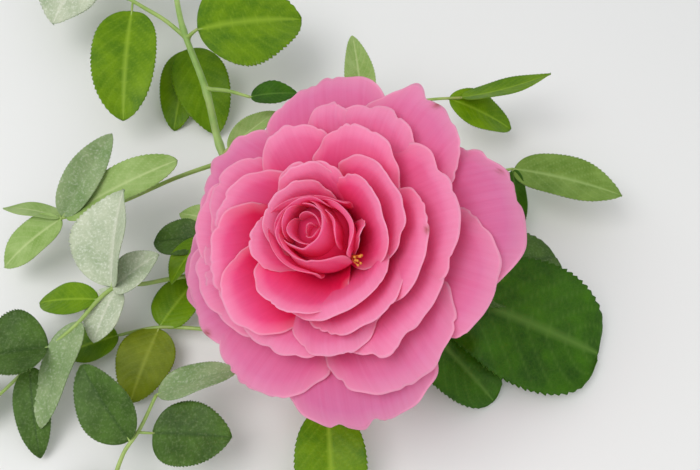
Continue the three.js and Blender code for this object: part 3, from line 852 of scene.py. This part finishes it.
PETALS: dict[str, tuple[Petal | Wrap, ...]] = {
    "petals_guard": (
        Petal(Ring.GUARD, 6, 50, 9, 40, marks=((42, -1.4, 5), (118, 1.2, 10)), spot=(0.5, 0.78, 0.03)),
        Petal(Ring.GUARD, 279, 49.5, 9, 44, marks=((84, -1.8, 5),)),
        Petal(Ring.GUARD, 188, 49.5, 9, 32),
    ),
    "petals_outer": (
        Petal(Ring.OUTER, 93, 46.4, 14, 39, marks=((125, 1.2, 12),)),
        Petal(Ring.OUTER, 50, 45.4, 15, 34, marks=((68, 2.0, 9), (110, -1.0, 8)), spot=(-0.05, 0.98, 0.05)),
        Petal(Ring.OUTER, 339, 45, 13, 37),
        Petal(Ring.OUTER, 234, 45.5, 13, 38),
        Petal(Ring.OUTER, 200, 46, 13, 38, spot=(0.45, 0.86, 0.05)),
        Petal(Ring.OUTER, 146, 45.3, 14, 36, marks=((92, 1.8, 9),)),
        Petal(Ring.OUTER, 302, 43.4, 15, 38),
    ),
    "petals_fourth": (
        Petal(Ring.FOURTH, 315, 34.5, 21, 36, marks=((125, 1.6, 10), (100, -1.2, 7))),
        Petal(Ring.FOURTH, 238, 32.2, 20, 34),
        Petal(Ring.FOURTH, 278, 31, 22, 26),
        Petal(Ring.FOURTH, 200, 36.6, 19, 36),
        Petal(Ring.FOURTH, 154, 36.8, 20, 29),
        Petal(Ring.FOURTH, 168, 39.4, 19, 33),
        Petal(Ring.FOURTH, 194, 38.7, 19, 31),
        Petal(Ring.FOURTH, 89, 36.1, 20, 17),
        Petal(Ring.FOURTH, 64, 36.5, 20, 30),
        Petal(Ring.FOURTH, 10, 35, 20.5, 41, marks=((60, -1.6, 9), (100, 1.0, 12))),
    ),
    "petals_third": (
        Petal(Ring.THIRD, 219, 30.7, 25.6, 26, deep=2.5, tuck=2.2),
        Petal(Ring.THIRD, 196, 30.8, 25.2, 33, deep=2.5, tuck=3.0),
        Petal(Ring.THIRD, 166, 29.5, 24.4, 31, tuck=3.0),
        Petal(Ring.THIRD, 110, 31, 23.4, 24, tuck=1.5),
        Petal(Ring.THIRD, 62, 28.6, 25, 27, deep=1.1),
        Petal(Ring.THIRD, 347, 28.8, 25, 32, deep=1.0, spot=(0.28, 0.93, 0.05)),
        Petal(Ring.THIRD, 303, 26.9, 25, 31),
    ),
    "petals_inner": (
        Petal(Ring.SECOND, 21, 22.9, 27.5, 32, marks=((120, 1.0, 8), (75, -0.8, 8))),
        Petal(Ring.SECOND, 294, 21.4, 28, 33, roll=1.9),
        Petal(Ring.SECOND, 97, 17, 29, 22),
        Petal(Ring.INNER, 10, 18.8, 30, 27, tuck=-2.4),
        Petal(Ring.INNER, 248, 20.4, 29, 28, marks=((34, -2.6, 4),), deep=2.2, tuck=0.8),
        Petal(Ring.INNER, 188, 15.8, 29.6, 17, tuck=2.0),
        Petal(Ring.INNER, 138, 12.3, 30, 24),
        Petal(Ring.INNER, 100, 16.0, 30, 19),
        Petal(Ring.INNER, 352, 13.4, 29.0, 9, lean=70),
    ),
    "petals_heart": (
        Wrap((-0.6, -8.4), 95, 43, 15.0, 30.0, belly=0.6, lip=1.4, fall=0.6),
        Wrap((3.1, 0.8), 221, 45, 12.4, 29.2, belly=0.8, lip=1.2, fall=0.6, spiral=-3.0),
        Wrap((2.5, 0.5), 256, 56, 8.4, 31.4, belly=3.2, lip=1.1, fall=1.0, notch=0.9, foot=(3.0, 9.0)),
        Wrap((1.4, -3.0), 130, 42, 9.7, 31.7, belly=0.8, lip=0.8),
        Wrap((0.8, -0.2), 216, 50, 7.2, 32.0, belly=1.4, lip=0.8),
        Wrap((4.0, -2.1), 24, 70, 6.9, 32.1, belly=1.0, lip=1.5),
        Wrap((0.4, -0.4), 180, 58, 7.2, 32.2, belly=1.0, lip=0.6),
        Wrap((1.6, -2.1), 18, 50, 5.6, 32.5, belly=0.8, lip=1.1),
        Wrap((0.2, 0.0), 96, 56, 6.3, 32.5, belly=1.0, lip=0.6),
        Wrap((-0.4, 0.0), 322, 128, 4.7, 33.4, belly=2.6, lip=1.0, fall=0.6, notch=1.3, notch_at=-0.4,
             foot=(3.0, 8.0)),
        Wrap((-0.4, 0.2), 160, 52, 4.9, 32.9, belly=1.2, lip=0.5),
        Wrap((0.2, 0.2), 50, 56, 4.6, 33.1, belly=1.4, lip=0.5),
        Wrap((0.2, -0.3), 216, 76, 3.7, 32.9, belly=0.9, lip=0.6, notch=0.5),
        Wrap((0.5, -0.4), 60, 80, 3.1, 31.9, belly=0.7, lip=0.5, spiral=0.8),
        Wrap((0.7, -0.6), 300, 90, 2.1, 30.9, belly=0.4, lip=0.3, spiral=0.8),
        Wrap((0.8, -0.6), 130, 100, 1.2, 30.0, belly=0.2, lip=0.2, spiral=0.6),
    ),
}


@dataclass
class Bloom:
    """The open bloom: whorls of petals on a packed core, on the hip's top."""

    core_foot: float = -2.8
    core_top: float = 27.0
    core_radius: float = 5.2
    core_swell: float = 4.4  # how much wider it is under the heart
    stamen_count: int = 9
    stamens_foot: tuple[float, float, float] = (9.0, -6.6, 23.0)
    stamens_tip: tuple[float, float, float] = (12.9, -8.9, 27.4)  # the middle of their heads

    def placed(self, points: Array) -> Array:
        """Points from the bloom's own frame, stood on the bloom's axis."""
        axis = unit(BLOOM_AXIS)
        side = unit(EAST - axis * axis[0])
        return points @ np.stack([side, np.cross(axis, side), axis]) + SEAT_HEIGHT * UP

    def build(self) -> list[Piece]:
        """Makes a piece of each whorl, and the core.

        Returns:
            The pieces.
        """
        finish = PetalFinish().material()
        pieces = []
        x, y = disc_grid(PETAL_GRID)
        thickness = PETAL_THICKNESS * (0.4 + 0.6 * (1 - np.hypot(x, y) ** 6))
        seed = 0
        for name, whorl in PETALS.items():
            body = Body()
            for petal in whorl:
                seed += 1
                shape = petal.surface(seed)
                notes = petal.notes(x, y, seed)
                body.sheet(lambda u, v, f=shape: self.placed(f(u, v)), x, y, thickness, notes)
            nodes = ("bloom",) if name == "petals_guard" else ()
            pieces.append(body.make(name, finish, "petal", *nodes))
        return [*pieces, self.core(finish), self.stamens()]

    def stamens(self) -> Piece:
        """A few stamens that show where the heart has opened a little.

        Returns:
            The piece.
        """
        body = Body()
        spin = np.random.default_rng(7)
        foot = np.array(self.stamens_foot)
        for _ in range(self.stamen_count):
            tip = np.array(self.stamens_tip) + spin.uniform(-1.3, 1.3, 3) * np.array([1, 1, 0.5])
            bend = (foot + tip) / 2 + spin.uniform(-0.4, 0.4, 3)
            thread = Path(self.placed(np.array([foot, bend, tip])).tolist())
            body.tube(thread, lambda share: 0.1 + 0.2 * smooth(share, 0.86, 0.94), 24)
        finish = StemFinish("stamen", "D07A24", "E09A3C", "A84A20", 0.3, "D98A2C", 0.6).material()
        return body.make("stamens", finish, "petal")

    def core(self, finish: Material) -> Piece:
        """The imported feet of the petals: a tube along the axis that swells and closes.

        Args:
            finish: the petals' own.

        Returns:
            The piece.
        """
        low = self.placed(np.array([[0, 0, self.core_foot]]))[0]
        high = self.placed(np.array([[0, 0, self.core_top]]))[0]
        path = Path([low, (low + high) / 2, high])

        def radius(share: Array) -> Array:
            neck = self.core_radius * (0.72 + 0.28 * smooth(share, 0, 0.3))
            return (neck + self.core_swell * smooth(share, 0.45, 0.8)) * np.sqrt(1 - 0.96 * share**8)

        body = Body()
        notes = {"along": 0.42, "rim": 0.0, "sideways": 0.0, "tone": 0.0, "bruise": 0.0, "thin": 0.4}
        body.tube(path, radius, 60, notes, EAST)
        return body.make("bloom_core", finish, "petal")


# ------------------------------------------------------------------ hip and stems


@dataclass
class Hip:
    """The green hip under the bloom, with its sepals turned back."""

    top: float = -3.3  # below the bloom's seat
    length: float = 13.0
    radius: float = 4.6
    neck: float = 2.6
    sepals: int = 5
    sepal_length: float = 17.0
    sepal_width: float = 6.0
    droop: float = 6.0  # how far a sepal's tip hangs
    turn: float = 20.0  # of the first sepal, in degrees

    def build(self, bloom: Bloom) -> Piece:
        """Makes the hip and its sepals as one piece.

        Args:
            bloom: whose axis it stands on.

        Returns:
            The piece.
        """
        body = Body()
        low = bloom.placed(np.array([[0, 0, self.top - self.length]]))[0]
        high = bloom.placed(np.array([[0, 0, self.top]]))[0]
        path = Path([low, (low + high) / 2, high])

        def radius(share: Array) -> Array:
            belly = np.sin(math.pi * np.clip(share / 0.95, 0, 1)) ** 0.7
            return self.neck + (self.radius - self.neck) * (belly + 0.95 * smooth(share, 0.75, 1.0))

        body.tube(path, radius, 28, reference=EAST)
        columns, rows = SEPAL_GRID
        across, along = np.meshgrid(np.linspace(-1, 1, columns), np.linspace(0, 1, rows), indexing="ij")
        thickness = np.full_like(across, SEPAL_THICKNESS)
        notes = {"along": along, "edge": np.ones_like(across), "vein": bell(across, 0.15)}
        for number in range(self.sepals):
            direction = self.turn + 360 * number / self.sepals

            def surface(x: Array, y: Array, facing: float = direction) -> Array:
                half = self.sepal_width / 2 * (1 - y) ** 0.7 * (1 + 0.12 * np.sin(16 * y))
                points = np.stack([
                    self.radius - 1.5 + self.sepal_length * y * (1 - 0.1 * y),
                    x * half,
                    self.top - 1.2 - self.droop * y**1.5 + 0.5 * x**2 * (1 - y),
                ], -1)
                return bloom.placed(turned(points, facing))

            body.sheet(surface, across, along * SEPAL_END, thickness, notes)
        finish = StemFinish("hip_skin", "5E8F33", "86AD4E", "A9774A", 0.15)
        return body.make("hip", finish.material(), "hip", "hip_with_sepals")


@dataclass
class Stems:
    """The cane in its two lengths and the flower stalk."""

    lower: Places = ((-66, -101, 2.4), (-40, -80, 2.4), (-17, -60, 3.2), (-7, -42, 3.8), (-6, -30, 4.3))
    upper: Places = (
        (-6, -30, 4.3), (-9, -14, 5.4), (-22, 15, 9), (-44, 52, 16), (-52, 78, 22), (-62, 103, 28),
        (-68, 128, 31),
    )
    stalk_foot: tuple[float, ...] = (-7.0, -19.0, 6.2)
    stalk_handle: tuple[float, ...] = (2.0, -8.0, 9.0)  # which way it sets out
    stalk_straight: float = 14.0  # how long it heads straight for the hip
    forks: tuple[float, ...] = (0.02, 0.22, 0.4, 0.56, 0.68, 0.84)  # shares of the upper cane's length
    steps: int = 140  # rings along each limb

    def stalk_path(self) -> Path:
        """The flower stalk's path: a cubic curve from the cane up into the hip."""
        axis = unit(BLOOM_AXIS)
        hip = Hip()
        top = SEAT_HEIGHT * UP + axis * (hip.top - hip.length - 0.3)
        ends = (np.array(self.stalk_foot), np.array(self.stalk_handle), top - self.stalk_straight * axis, top)
        points, _ = cubic(ends, np.linspace(0, 1, 9))
        return Path(points.tolist())

    def build(self) -> list[Piece]:
        """Makes the three limbs.

        Returns:
            The pieces.
        """
        cut, middle, tip = CANE_RADIUS
        bark = StemFinish("green_bark", "7C9F47", "9DB765", "A36A48", 0.3).material()
        soft = StemFinish("flower_stalk_skin", "7A9E43", "9AB862", "A8714E", 0.3).material()

        def lower_radius(share: Array) -> Array:
            return cut + (middle - cut) * share + 0.22 * bell(share - 0.3, 0.025)

        def upper_radius(share: Array) -> Array:
            swelling = sum(bell(share - place, 0.012) for place in self.forks)
            return middle + (tip - middle) * share + 0.25 * swelling

        def stalk_radius(share: Array) -> Array:
            low, high = STALK_RADIUS
            flare = 0.9 * smooth(share, 0.9, 1.0) + 0.5 * (1 - smooth(share, 0, 0.06))
            return low + (high - low) * share + flare

        pieces = []
        for name, node, path, radius, finish, slot, reference in (
            ("cane_foot", "cane_lower", Path(self.lower), lower_radius, bark, "cane", UP),
            ("cane_top", "cane_upper", Path(self.upper), upper_radius, bark, "cane", UP),
            ("stalk", "flower_stalk", self.stalk_path(), stalk_radius, soft, "stalk", EAST),
        ):
            body = Body()
            body.tube(path, radius, self.steps, reference=reference)
            pieces.append(body.make(name, finish, slot, node))
        return pieces


# ------------------------------------------------------------------ the leaves


@dataclass(frozen=True)
class Leaflet:
    """One leaflet: angles in degrees, sizes in mm, and its own finish."""

    at: float  # share of the leaf's stalk where it leaves
    heading: float
    climb: float
    length: float
    width: float
    roll: float = 0.0
    fold: float = 8.0
    arch: float = 0.05
    green: Green | None = None
    teeth: int = 26
    pinch: tuple[float, float, float] | None = None  # share along, share across, depth in mm
    petiolule: float = 0.6  # from the stalk to the foot of the blade
    tip: float = 0.7  # less makes a blunter tip
    bite: float = 0.026  # how deep the teeth are, as a share of the width
    wave: float = 0.03  # how far the margin waves, as a share of the width
    sunk: float = 0.16  # mm, how far the veins lie below the blade
    puff: float = 0.1  # mm, how far it rises between them

    def surface(self, root: Array, seed: int) -> Surface:
        """The leaflet's middle surface.

        The half-width at share t is t to 0.48 times (1 - t) to the tip's power, scaled to
        its widest, with teeth that point forwards. The halves fold up from the midrib, the blade
        arches along its length, and it is sunk along the veins and puffed between them.

        Args:
            root: where it leaves the stalk.
            seed: for the waves of its margin.

        Returns:
            A function of share across and share along.
        """
        heading, climb, roll = (math.radians(angle) for angle in (self.heading, self.climb, self.roll))
        outward = np.array([
            math.cos(heading) * math.cos(climb), math.sin(heading) * math.cos(climb), math.sin(climb),
        ])
        flat = np.array([math.sin(heading), -math.cos(heading), 0.0])
        side = flat * math.cos(roll) + np.cross(outward, flat) * math.sin(roll)
        face = np.cross(side, outward)
        steep = math.tan(math.radians(self.fold))
        phases = np.random.default_rng(seed).uniform(0, 2 * math.pi, 3)
        widest = BLADE_FOOT / (BLADE_FOOT + self.tip)
        peak = widest**BLADE_FOOT * (1 - widest) ** self.tip

        def surface(across: Array, along: Array) -> Array:
            t = np.clip(along, BLADE_END, 1 - BLADE_END)
            half = self.width / 2 * t**BLADE_FOOT * (1 - t) ** self.tip / peak
            saw = np.mod(t * self.teeth + 0.03 * np.sign(across), 1.0)
            tooth = np.where(saw < 0.8, saw / 0.8, (1 - saw) / 0.2)  # a long back and a short front
            tooth = tooth * smooth(t, 0.04, 0.2) * (1 - smooth(t, 0.96, 1.0))
            margin = np.abs(across) ** 6
            bite = self.bite * self.width * (0.6 + 0.4 * np.sin(math.pi * t))
            reach = across * half + np.sign(across) * margin * bite * (tooth - 0.5)
            forward = self.length * t + margin * 0.5 * bite * tooth
            fold = steep * (np.hypot(reach, 0.6) - 0.6)
            arch = self.arch * self.length * 4 * t * (1 - t)
            wave = self.wave * self.width * np.sin(9 * t + phases[0] + 1.3 * np.sign(across)) * across**2
            veins = self.veins(across, t)
            puff = self.puff * (1 - veins) * (1 - np.abs(across) ** 4)
            lift = fold + arch + wave - self.sunk * veins + puff
            if self.pinch:
                place, offset, depth = self.pinch
                spread = np.hypot((t - place) / 0.09, (across - offset) / 0.35)
                lift = lift + depth * np.exp(-(spread**2))
            points = (
                root
                + outward * (self.petiolule + forward)[..., None]
                + side * reach[..., None]
                + face * lift[..., None]
            )
            points[..., 2] = np.maximum(points[..., 2], GROUND_CLEARANCE)
            return points

        return surface

    def veins(self, across: Array, along: Array) -> Array:
        """How strongly a vein shows: the midrib, and side veins that slant forwards."""
        slant = along - 0.3 * np.abs(across) ** 1.1
        nearest = np.abs(np.mod(slant * SIDE_VEINS, 1.0) - 0.5)
        side = bell(nearest, 0.075) * (1 - smooth(np.abs(across), 0.75, 1.0)) * 0.45
        midrib = bell(across * self.width / 2, 0.27)
        return np.maximum(side * smooth(along, 0.02, 0.1), midrib)

    def build(self, body: Body, root: Array, seed: int) -> None:
        """Adds the leaflet's blade to a body.

        Args:
            body: the mesh it joins.
            root: where it leaves the stalk.
            seed: for its waves.
        """
        columns, rows = LEAF_GRID
        spread = np.linspace(-1, 1, columns)
        spread = np.sign(spread) * np.abs(spread) ** 0.85
        across, along = np.meshgrid(spread, np.linspace(0, 1, rows), indexing="ij")
        veins = self.veins(across, along)
        thickness = LEAF_THICKNESS * (1 + 0.9 * bell(across * self.width / 2, 0.6))
        body.sheet(self.surface(root, seed), across, along, thickness, {"vein": 0.75 * veins})


@dataclass(frozen=True)
class Leaf:
    """A compound leaf: its stalk from the cane outwards and its leaflets."""

    name: str
    slot: str
    green: Green
    stalk: Places
    leaflets: tuple[Leaflet, ...]

    def build(self, greens: dict[Green, Material], rind: Material, seed: int) -> list[Piece]:
        """Makes the leaf's stalk and its blades, each finish a piece.

        Args:
            greens: the leaf materials.
            rind: the stalk's material.
            seed: for the leaflets' waves.

        Returns:
            The pieces.
        """
        path = Path(self.stalk)
        foot, tip = RACHIS_RADIUS
        thick, thin = RIB_RADIUS
        stem = Body()

        def radius(share: Array) -> Array:
            return foot + (tip - foot) * share + 0.35 * (1 - smooth(share, 0.0, 2.5 / path.length))

        stem.tube(path, radius, 60)
        for number, one in enumerate(self.leaflets):
            root = path.at(one.at)
            near, onto = one.surface(root, seed + number)(np.zeros(2), np.array([0.06, 0.35]))
            rib = Path([root, near - 0.12 * UP, onto - 0.2 * UP])
            stem.tube(rib, lambda share: thick + (thin - thick) * share, 16)
        pieces = [stem.make(f"{self.name}_stalk", rind, self.slot, self.name)]
        for finish in dict.fromkeys(one.green or self.green for one in self.leaflets):
            blades = Body()
            for number, one in enumerate(self.leaflets):
                if (one.green or self.green) is finish:
                    one.build(blades, path.at(one.at), seed + number)
            name = f"{self.name}_{finish.name.lower()}"
            pieces.append(blades.make(name, greens[finish], self.slot))
        return pieces


# A leaf's points run from the cane out. A leaflet's numbers are, in this order, its place on
# the stalk, heading, climb, length, width, roll, fold and arch.
LEAVES: tuple[Leaf, ...] = (
    Leaf("leaf_upper_left", "leaf_green", Green.BRIGHT,
         ((-60, 98, 26.8), (-68.5, 105, 29), (-77.5, 111, 30), (-88, 120, 29), (-106, 142, 25)), (
             Leaflet(0.42, -91, -19, 43, 24, 0, 16, 0.06, petiolule=4.2, tip=0.6),
             Leaflet(0.42, 92, -10, 38, 21, 0, 10, 0.08),
             Leaflet(0.9, -120, -16, 27, 27, 0, 10, 0.08, Green.PAINTED_SHEEN),
             Leaflet(0.86, 99, -9, 30, 18, 0, 10, 0.08),
             Leaflet(1.0, 133, -21, 38, 20, 0, 8, 0.1),
         )),
    Leaf("leaf_upper_right", "leaf_green", Green.BRIGHT,
         ((-60, 98, 26.8), (-57.5, 98, 29.5), (-55.5, 99, 30.5)), (
             Leaflet(0.9, 14, -6, 38.5, 42, 4, 5, 0.05),
         )),
    Leaf("leaf_behind_stem", "leaf_fresh", Green.BRIGHT,
         ((-60, 98, 26), (-62, 104, 20), (-62, 107, 12)), (
             Leaflet(0.9, -71, -18, 37, 21, 0, 8, 0.05),
             Leaflet(1.0, -100, -20, 33, 17, 0, 8, 0.05),
         )),
    Leaf("leaf_far_left", "leaf_pale", Green.FRESH,
         ((-44, 52, 14), (-60, 45, 14), (-80, 33, 15), (-95, 26, 18)), (
             Leaflet(0.99, 26, 10, 41, 15, 0, 12, 0.04, tip=0.5),
             Leaflet(1.0, 62, 17, 32, 12, 14, 24, 0.04, Green.GREY),
             Leaflet(1.0, 162, -14, 25, 9, 30, 10, 0.04),
             Leaflet(1.0, -146, -22, 25, 14, 0, 10, 0.06),
         )),
    Leaf("leaf_silver_left", "leaf_pale", Green.PAINTED_SHEEN,
         ((-22, 15, 9), (-58.5, 5.5, 14), (-64.5, 3, 16), (-74.5, 0.5, 17.5), (-84.5, -12, 16.5),
          (-91.5, -17.5, 14), (-106, -31, 9)), (
             Leaflet(0.55, 84, 25, 31, 24, -30, 32, 0.04),
             Leaflet(0.55, 25, 27, 19, 12, 0, 12, 0.05),
             Leaflet(0.53, -110, -15, 18, 13, 10, 12, 0.05),
             Leaflet(0.6, 173, -21, 23, 11, 0, 10, 0.06, Green.BRIGHT),
             Leaflet(0.68, -107, -17, 33, 13, 20, 12, 0.05, Green.GREY),
             Leaflet(0.8, -166, 6, 22, 24, 14, 22, 0.05, Green.DULL),
             Leaflet(0.88, -79, -21, 27, 11, 0, 8, 0.06, Green.DULL),
             Leaflet(1.0, -172, -19, 21, 15, 0, 8, 0.06, Green.DULL),
         )),
    Leaf("leaf_lower_left", "leaf_green", Green.DULL,
         ((-40, -80, 2.4), (-54, -73, 8), (-66, -60, 11), (-65, -50, 12.5), (-61, -43, 13.5),
          (-57, -33, 15)), (
             Leaflet(0.77, 127, 18, 26, 16, -20, 16, 0.05),
             Leaflet(0.82, -4, 3, 23, 19, 0, 6, 0.05, petiolule=4.5),
             Leaflet(1.0, 15, 7, 24, 12, -24, 12, 0.05, Green.GREY),
             Leaflet(0.4, 168, -20, 30, 20, 0, 8, 0.06),
             Leaflet(0.5, -28, 2, 26, 18, 0, 8, 0.06),
         )),
    Leaf("leaf_low_left", "leaf_fresh", Green.FRESH,
         ((-9, -14, 5.4), (-25, -12, 7), (-45, -9, 7), (-62, -8, 6.5), (-74, -10, 5)), (
             Leaflet(0.8, -107, -11, 24, 18.5, 0, 6, 0.05, Green.OLIVE),
             Leaflet(0.8, 58, 2, 20, 15, 0, 8, 0.05, Green.BRIGHT),
             Leaflet(1.0, -163, -9, 18, 13, 0, 8, 0.05, Green.BRIGHT),
         )),
    Leaf("leaf_near_left", "leaf_green", Green.DULL,
         ((-33, 34, 12.5), (-41, 26, 15), (-47, 19, 16)), (
             Leaflet(1.0, 179, -9, 17.5, 14, 0, 14, 0.08),
             Leaflet(0.95, -122, -2, 19, 10, 20, 24, 0.1, Green.BRIGHT),
             Leaflet(0.6, 163, -4, 16, 9, 0, 14, 0.06, Green.FRESH),
         )),
    Leaf("leaf_right", "leaf_green", Green.DEEP,
         ((-6, -30, 4.3), (6, -18, 9), (16, -5, 12), (27, 3, 13.5)), (
             Leaflet(1.0, -20, -10, 55.5, 40.5, 12, 5, 0.06, pinch=(0.3, 0.72, 3.0), tip=0.34),
             Leaflet(0.95, 22, -13, 50, 29, 0, 8, 0.06, Green.DULL, tip=0.45),
             Leaflet(0.75, -45, -14, 39, 24, 0, 8, 0.06, tip=0.5),
         )),
    Leaf("leaf_far_right", "leaf_pale", Green.FRESH,
         ((-22, 15, 9), (-6, 26, 10), (17, 39, 12), (42, 47, 12), (57.5, 50, 12)), (
             Leaflet(1.0, -21, 5, 37, 19, -4, 10, 0.04, Green.SOFT),
             Leaflet(1.0, -82, -17, 20, 9, 50, 10, 0.04, Green.DEEP),
             Leaflet(0.6, 92, -16, 24, 16, 0, 8, 0.05, Green.DEEP),
             Leaflet(0.7, -38, -25, 28, 18, 0, 8, 0.05, Green.DEEP),
         )),
    Leaf("leaf_top_right", "leaf_fresh", Green.BRIGHT,
         ((-33, 34, 12.5), (-18, 60, 15), (11, 72.5, 17), (29, 76, 18.5), (40, 76, 19.5)), (
             Leaflet(1.0, 8, 14, 32, 12, -25, 10, -0.04),
             Leaflet(0.95, -15, -22, 26, 16, 0, 8, 0.05),
             Leaflet(0.6, 98, 32, 28, 12, 20, 12, 0.05, Green.FRESH),
         )),
    Leaf("leaf_small_top", "leaf_green", Green.DEEP,
         ((-52, 78, 22), (-43, 74, 25.5), (-35, 70, 27)), (
             Leaflet(1.0, 5, 0, 16, 10, 0, 14, 0.05, teeth=9),
         )),
    Leaf("leaf_folded_top", "leaf_fresh", Green.FRESH,
         ((-44, 52, 16), (-43, 53, 18.3), (-42, 54, 19)), (
             Leaflet(0.8, 44, 3, 22, 8, 10, 38, 0.04),
         )),
    Leaf("leaf_bottom", "leaf_fresh", Green.BRIGHT,
         ((-6, -30, 4.3), (-6, -32, 8.5), (-7, -35, 11)), (
             Leaflet(0.9, -86, -15, 40, 21, 0, 8, 0.08),
         )),
    Leaf("leaf_tip", "leaf_fresh", Green.FRESH,
         ((-68, 128, 31), (-69, 131, 31.6), (-69.6, 134, 32)), (
             Leaflet(0.9, 128, 10, 22, 13, 0, 22, 0.06),
             Leaflet(0.9, 70, 14, 20, 12, 0, 26, 0.06),
         )),
)


# ------------------------------------------------------------------ camera, light and floor


@dataclass
class Studio:
    """A pale floor, soft light from the upper left, and the camera."""

    sky: float = 0.74  # how strong its light is
    sky_colour: str = "F4F7FC"
    key_power: float = 1.9  # watts
    key_size: float = 0.45  # metres, as all sizes here
    key_from: tuple[float, float, float] = (-0.3, -0.1, 0.57)  # from the bloom
    fill_power: float = 1.0
    fill_size: float = 0.6
    fill_from: tuple[float, float, float] = (0.4, -0.5, 0.35)
    floor: str = "E9E8E4"
    floor_half: float = 3.0  # metres from its middle to its edge
    nearest: float = 0.005  # metres from the camera, of what it shows

    def build(self) -> None:
        """Makes the floor, the lights, the sky and the camera."""
        scene = bpy.context.scene
        scene.view_settings.view_transform = "Standard"
        world = bpy.data.worlds.new("soft_sky")
        scene.world = world
        world.use_nodes = True
        backdrop = world.node_tree.nodes["Background"]
        backdrop.inputs["Color"].default_value = linear(self.sky_colour)
        backdrop.inputs["Strength"].default_value = self.sky
        mesh = bpy.data.meshes.new("floor")
        half = self.floor_half
        corners = [(-half, -half, 0), (half, -half, 0), (half, half, 0), (-half, half, 0)]
        mesh.from_pydata(corners, [], [(0, 1, 2, 3)])
        floor = bpy.data.objects.new("floor", mesh)
        scene.collection.objects.link(floor)
        matt = Skin("pale_floor", roughness=0.85)
        matt.set("Base Color", self.floor)
        mesh.materials.append(matt.material)
        seat = (SEAT_HEIGHT * UP - FOOTPRINT_CENTRE) * MM
        self.light("key", seat + np.array(self.key_from), seat, self.key_size, self.key_power)
        self.light("fill", seat + np.array(self.fill_from), seat, self.fill_size, self.fill_power)
        self.camera(seat)

    def light(self, name: str, place: Array, aim: Array, size: float, power: float) -> None:
        """Hangs one soft square light.

        Args:
            name: its name.
            place: where it hangs.
            aim: the point that it faces.
            size: its side, in metres.
            power: in watts.
        """
        lamp = bpy.data.lights.new(name, "AREA")
        lamp.energy = power
        lamp.size = size
        held = bpy.data.objects.new(name, lamp)
        bpy.context.scene.collection.objects.link(held)
        held.location = place
        held.rotation_euler = Vector(aim - place).to_track_quat("-Z", "Y").to_euler()

    def camera(self, seat: Array) -> None:
        """Stands the camera over the branch, looking down on the bloom.

        Args:
            seat: the bloom's seat, in metres.
        """
        tilt = math.radians(CAMERA_ELEVATION)
        up = np.array([0, math.sin(tilt), math.cos(tilt)])
        back = np.array([0, -math.cos(tilt), math.sin(tilt)])
        place = seat + (SEAT_BELOW_MIDDLE * up + CAMERA_DISTANCE * back) * MM
        lens = bpy.data.cameras.new("camera")
        lens.sensor_width = SENSOR_WIDTH
        lens.lens = CAMERA_LENS
        lens.clip_start = self.nearest
        camera = bpy.data.objects.new("camera", lens)
        bpy.context.scene.collection.objects.link(camera)
        columns = np.stack([EAST, up, back], 1)
        camera.matrix_world = Matrix.Translation(Vector(place)) @ Matrix(columns.tolist()).to_4x4()
        bpy.context.scene.camera = camera


# ------------------------------------------------------------------ the whole branch


def main() -> None:
    """Builds the studio and the branch, piece by piece."""
    logging.basicConfig(level=logging.INFO, format="%(message)s")
    Studio().build()
    bloom = Bloom()
    pieces = bloom.build()
    pieces.append(Hip().build(bloom))
    pieces.extend(Stems().build())
    greens = {green: green.value.material() for green in Green}
    rind = StemFinish("leaf_stalk_skin", "7F9F42", "A3B964", "B5703F", 0.35).material()
    for number, leaf in enumerate(LEAVES):
        pieces.extend(leaf.build(greens, rind, 100 + 10 * number))
    LOG.info("%d pieces", len(pieces))


if __name__ == "__main__":
    main()
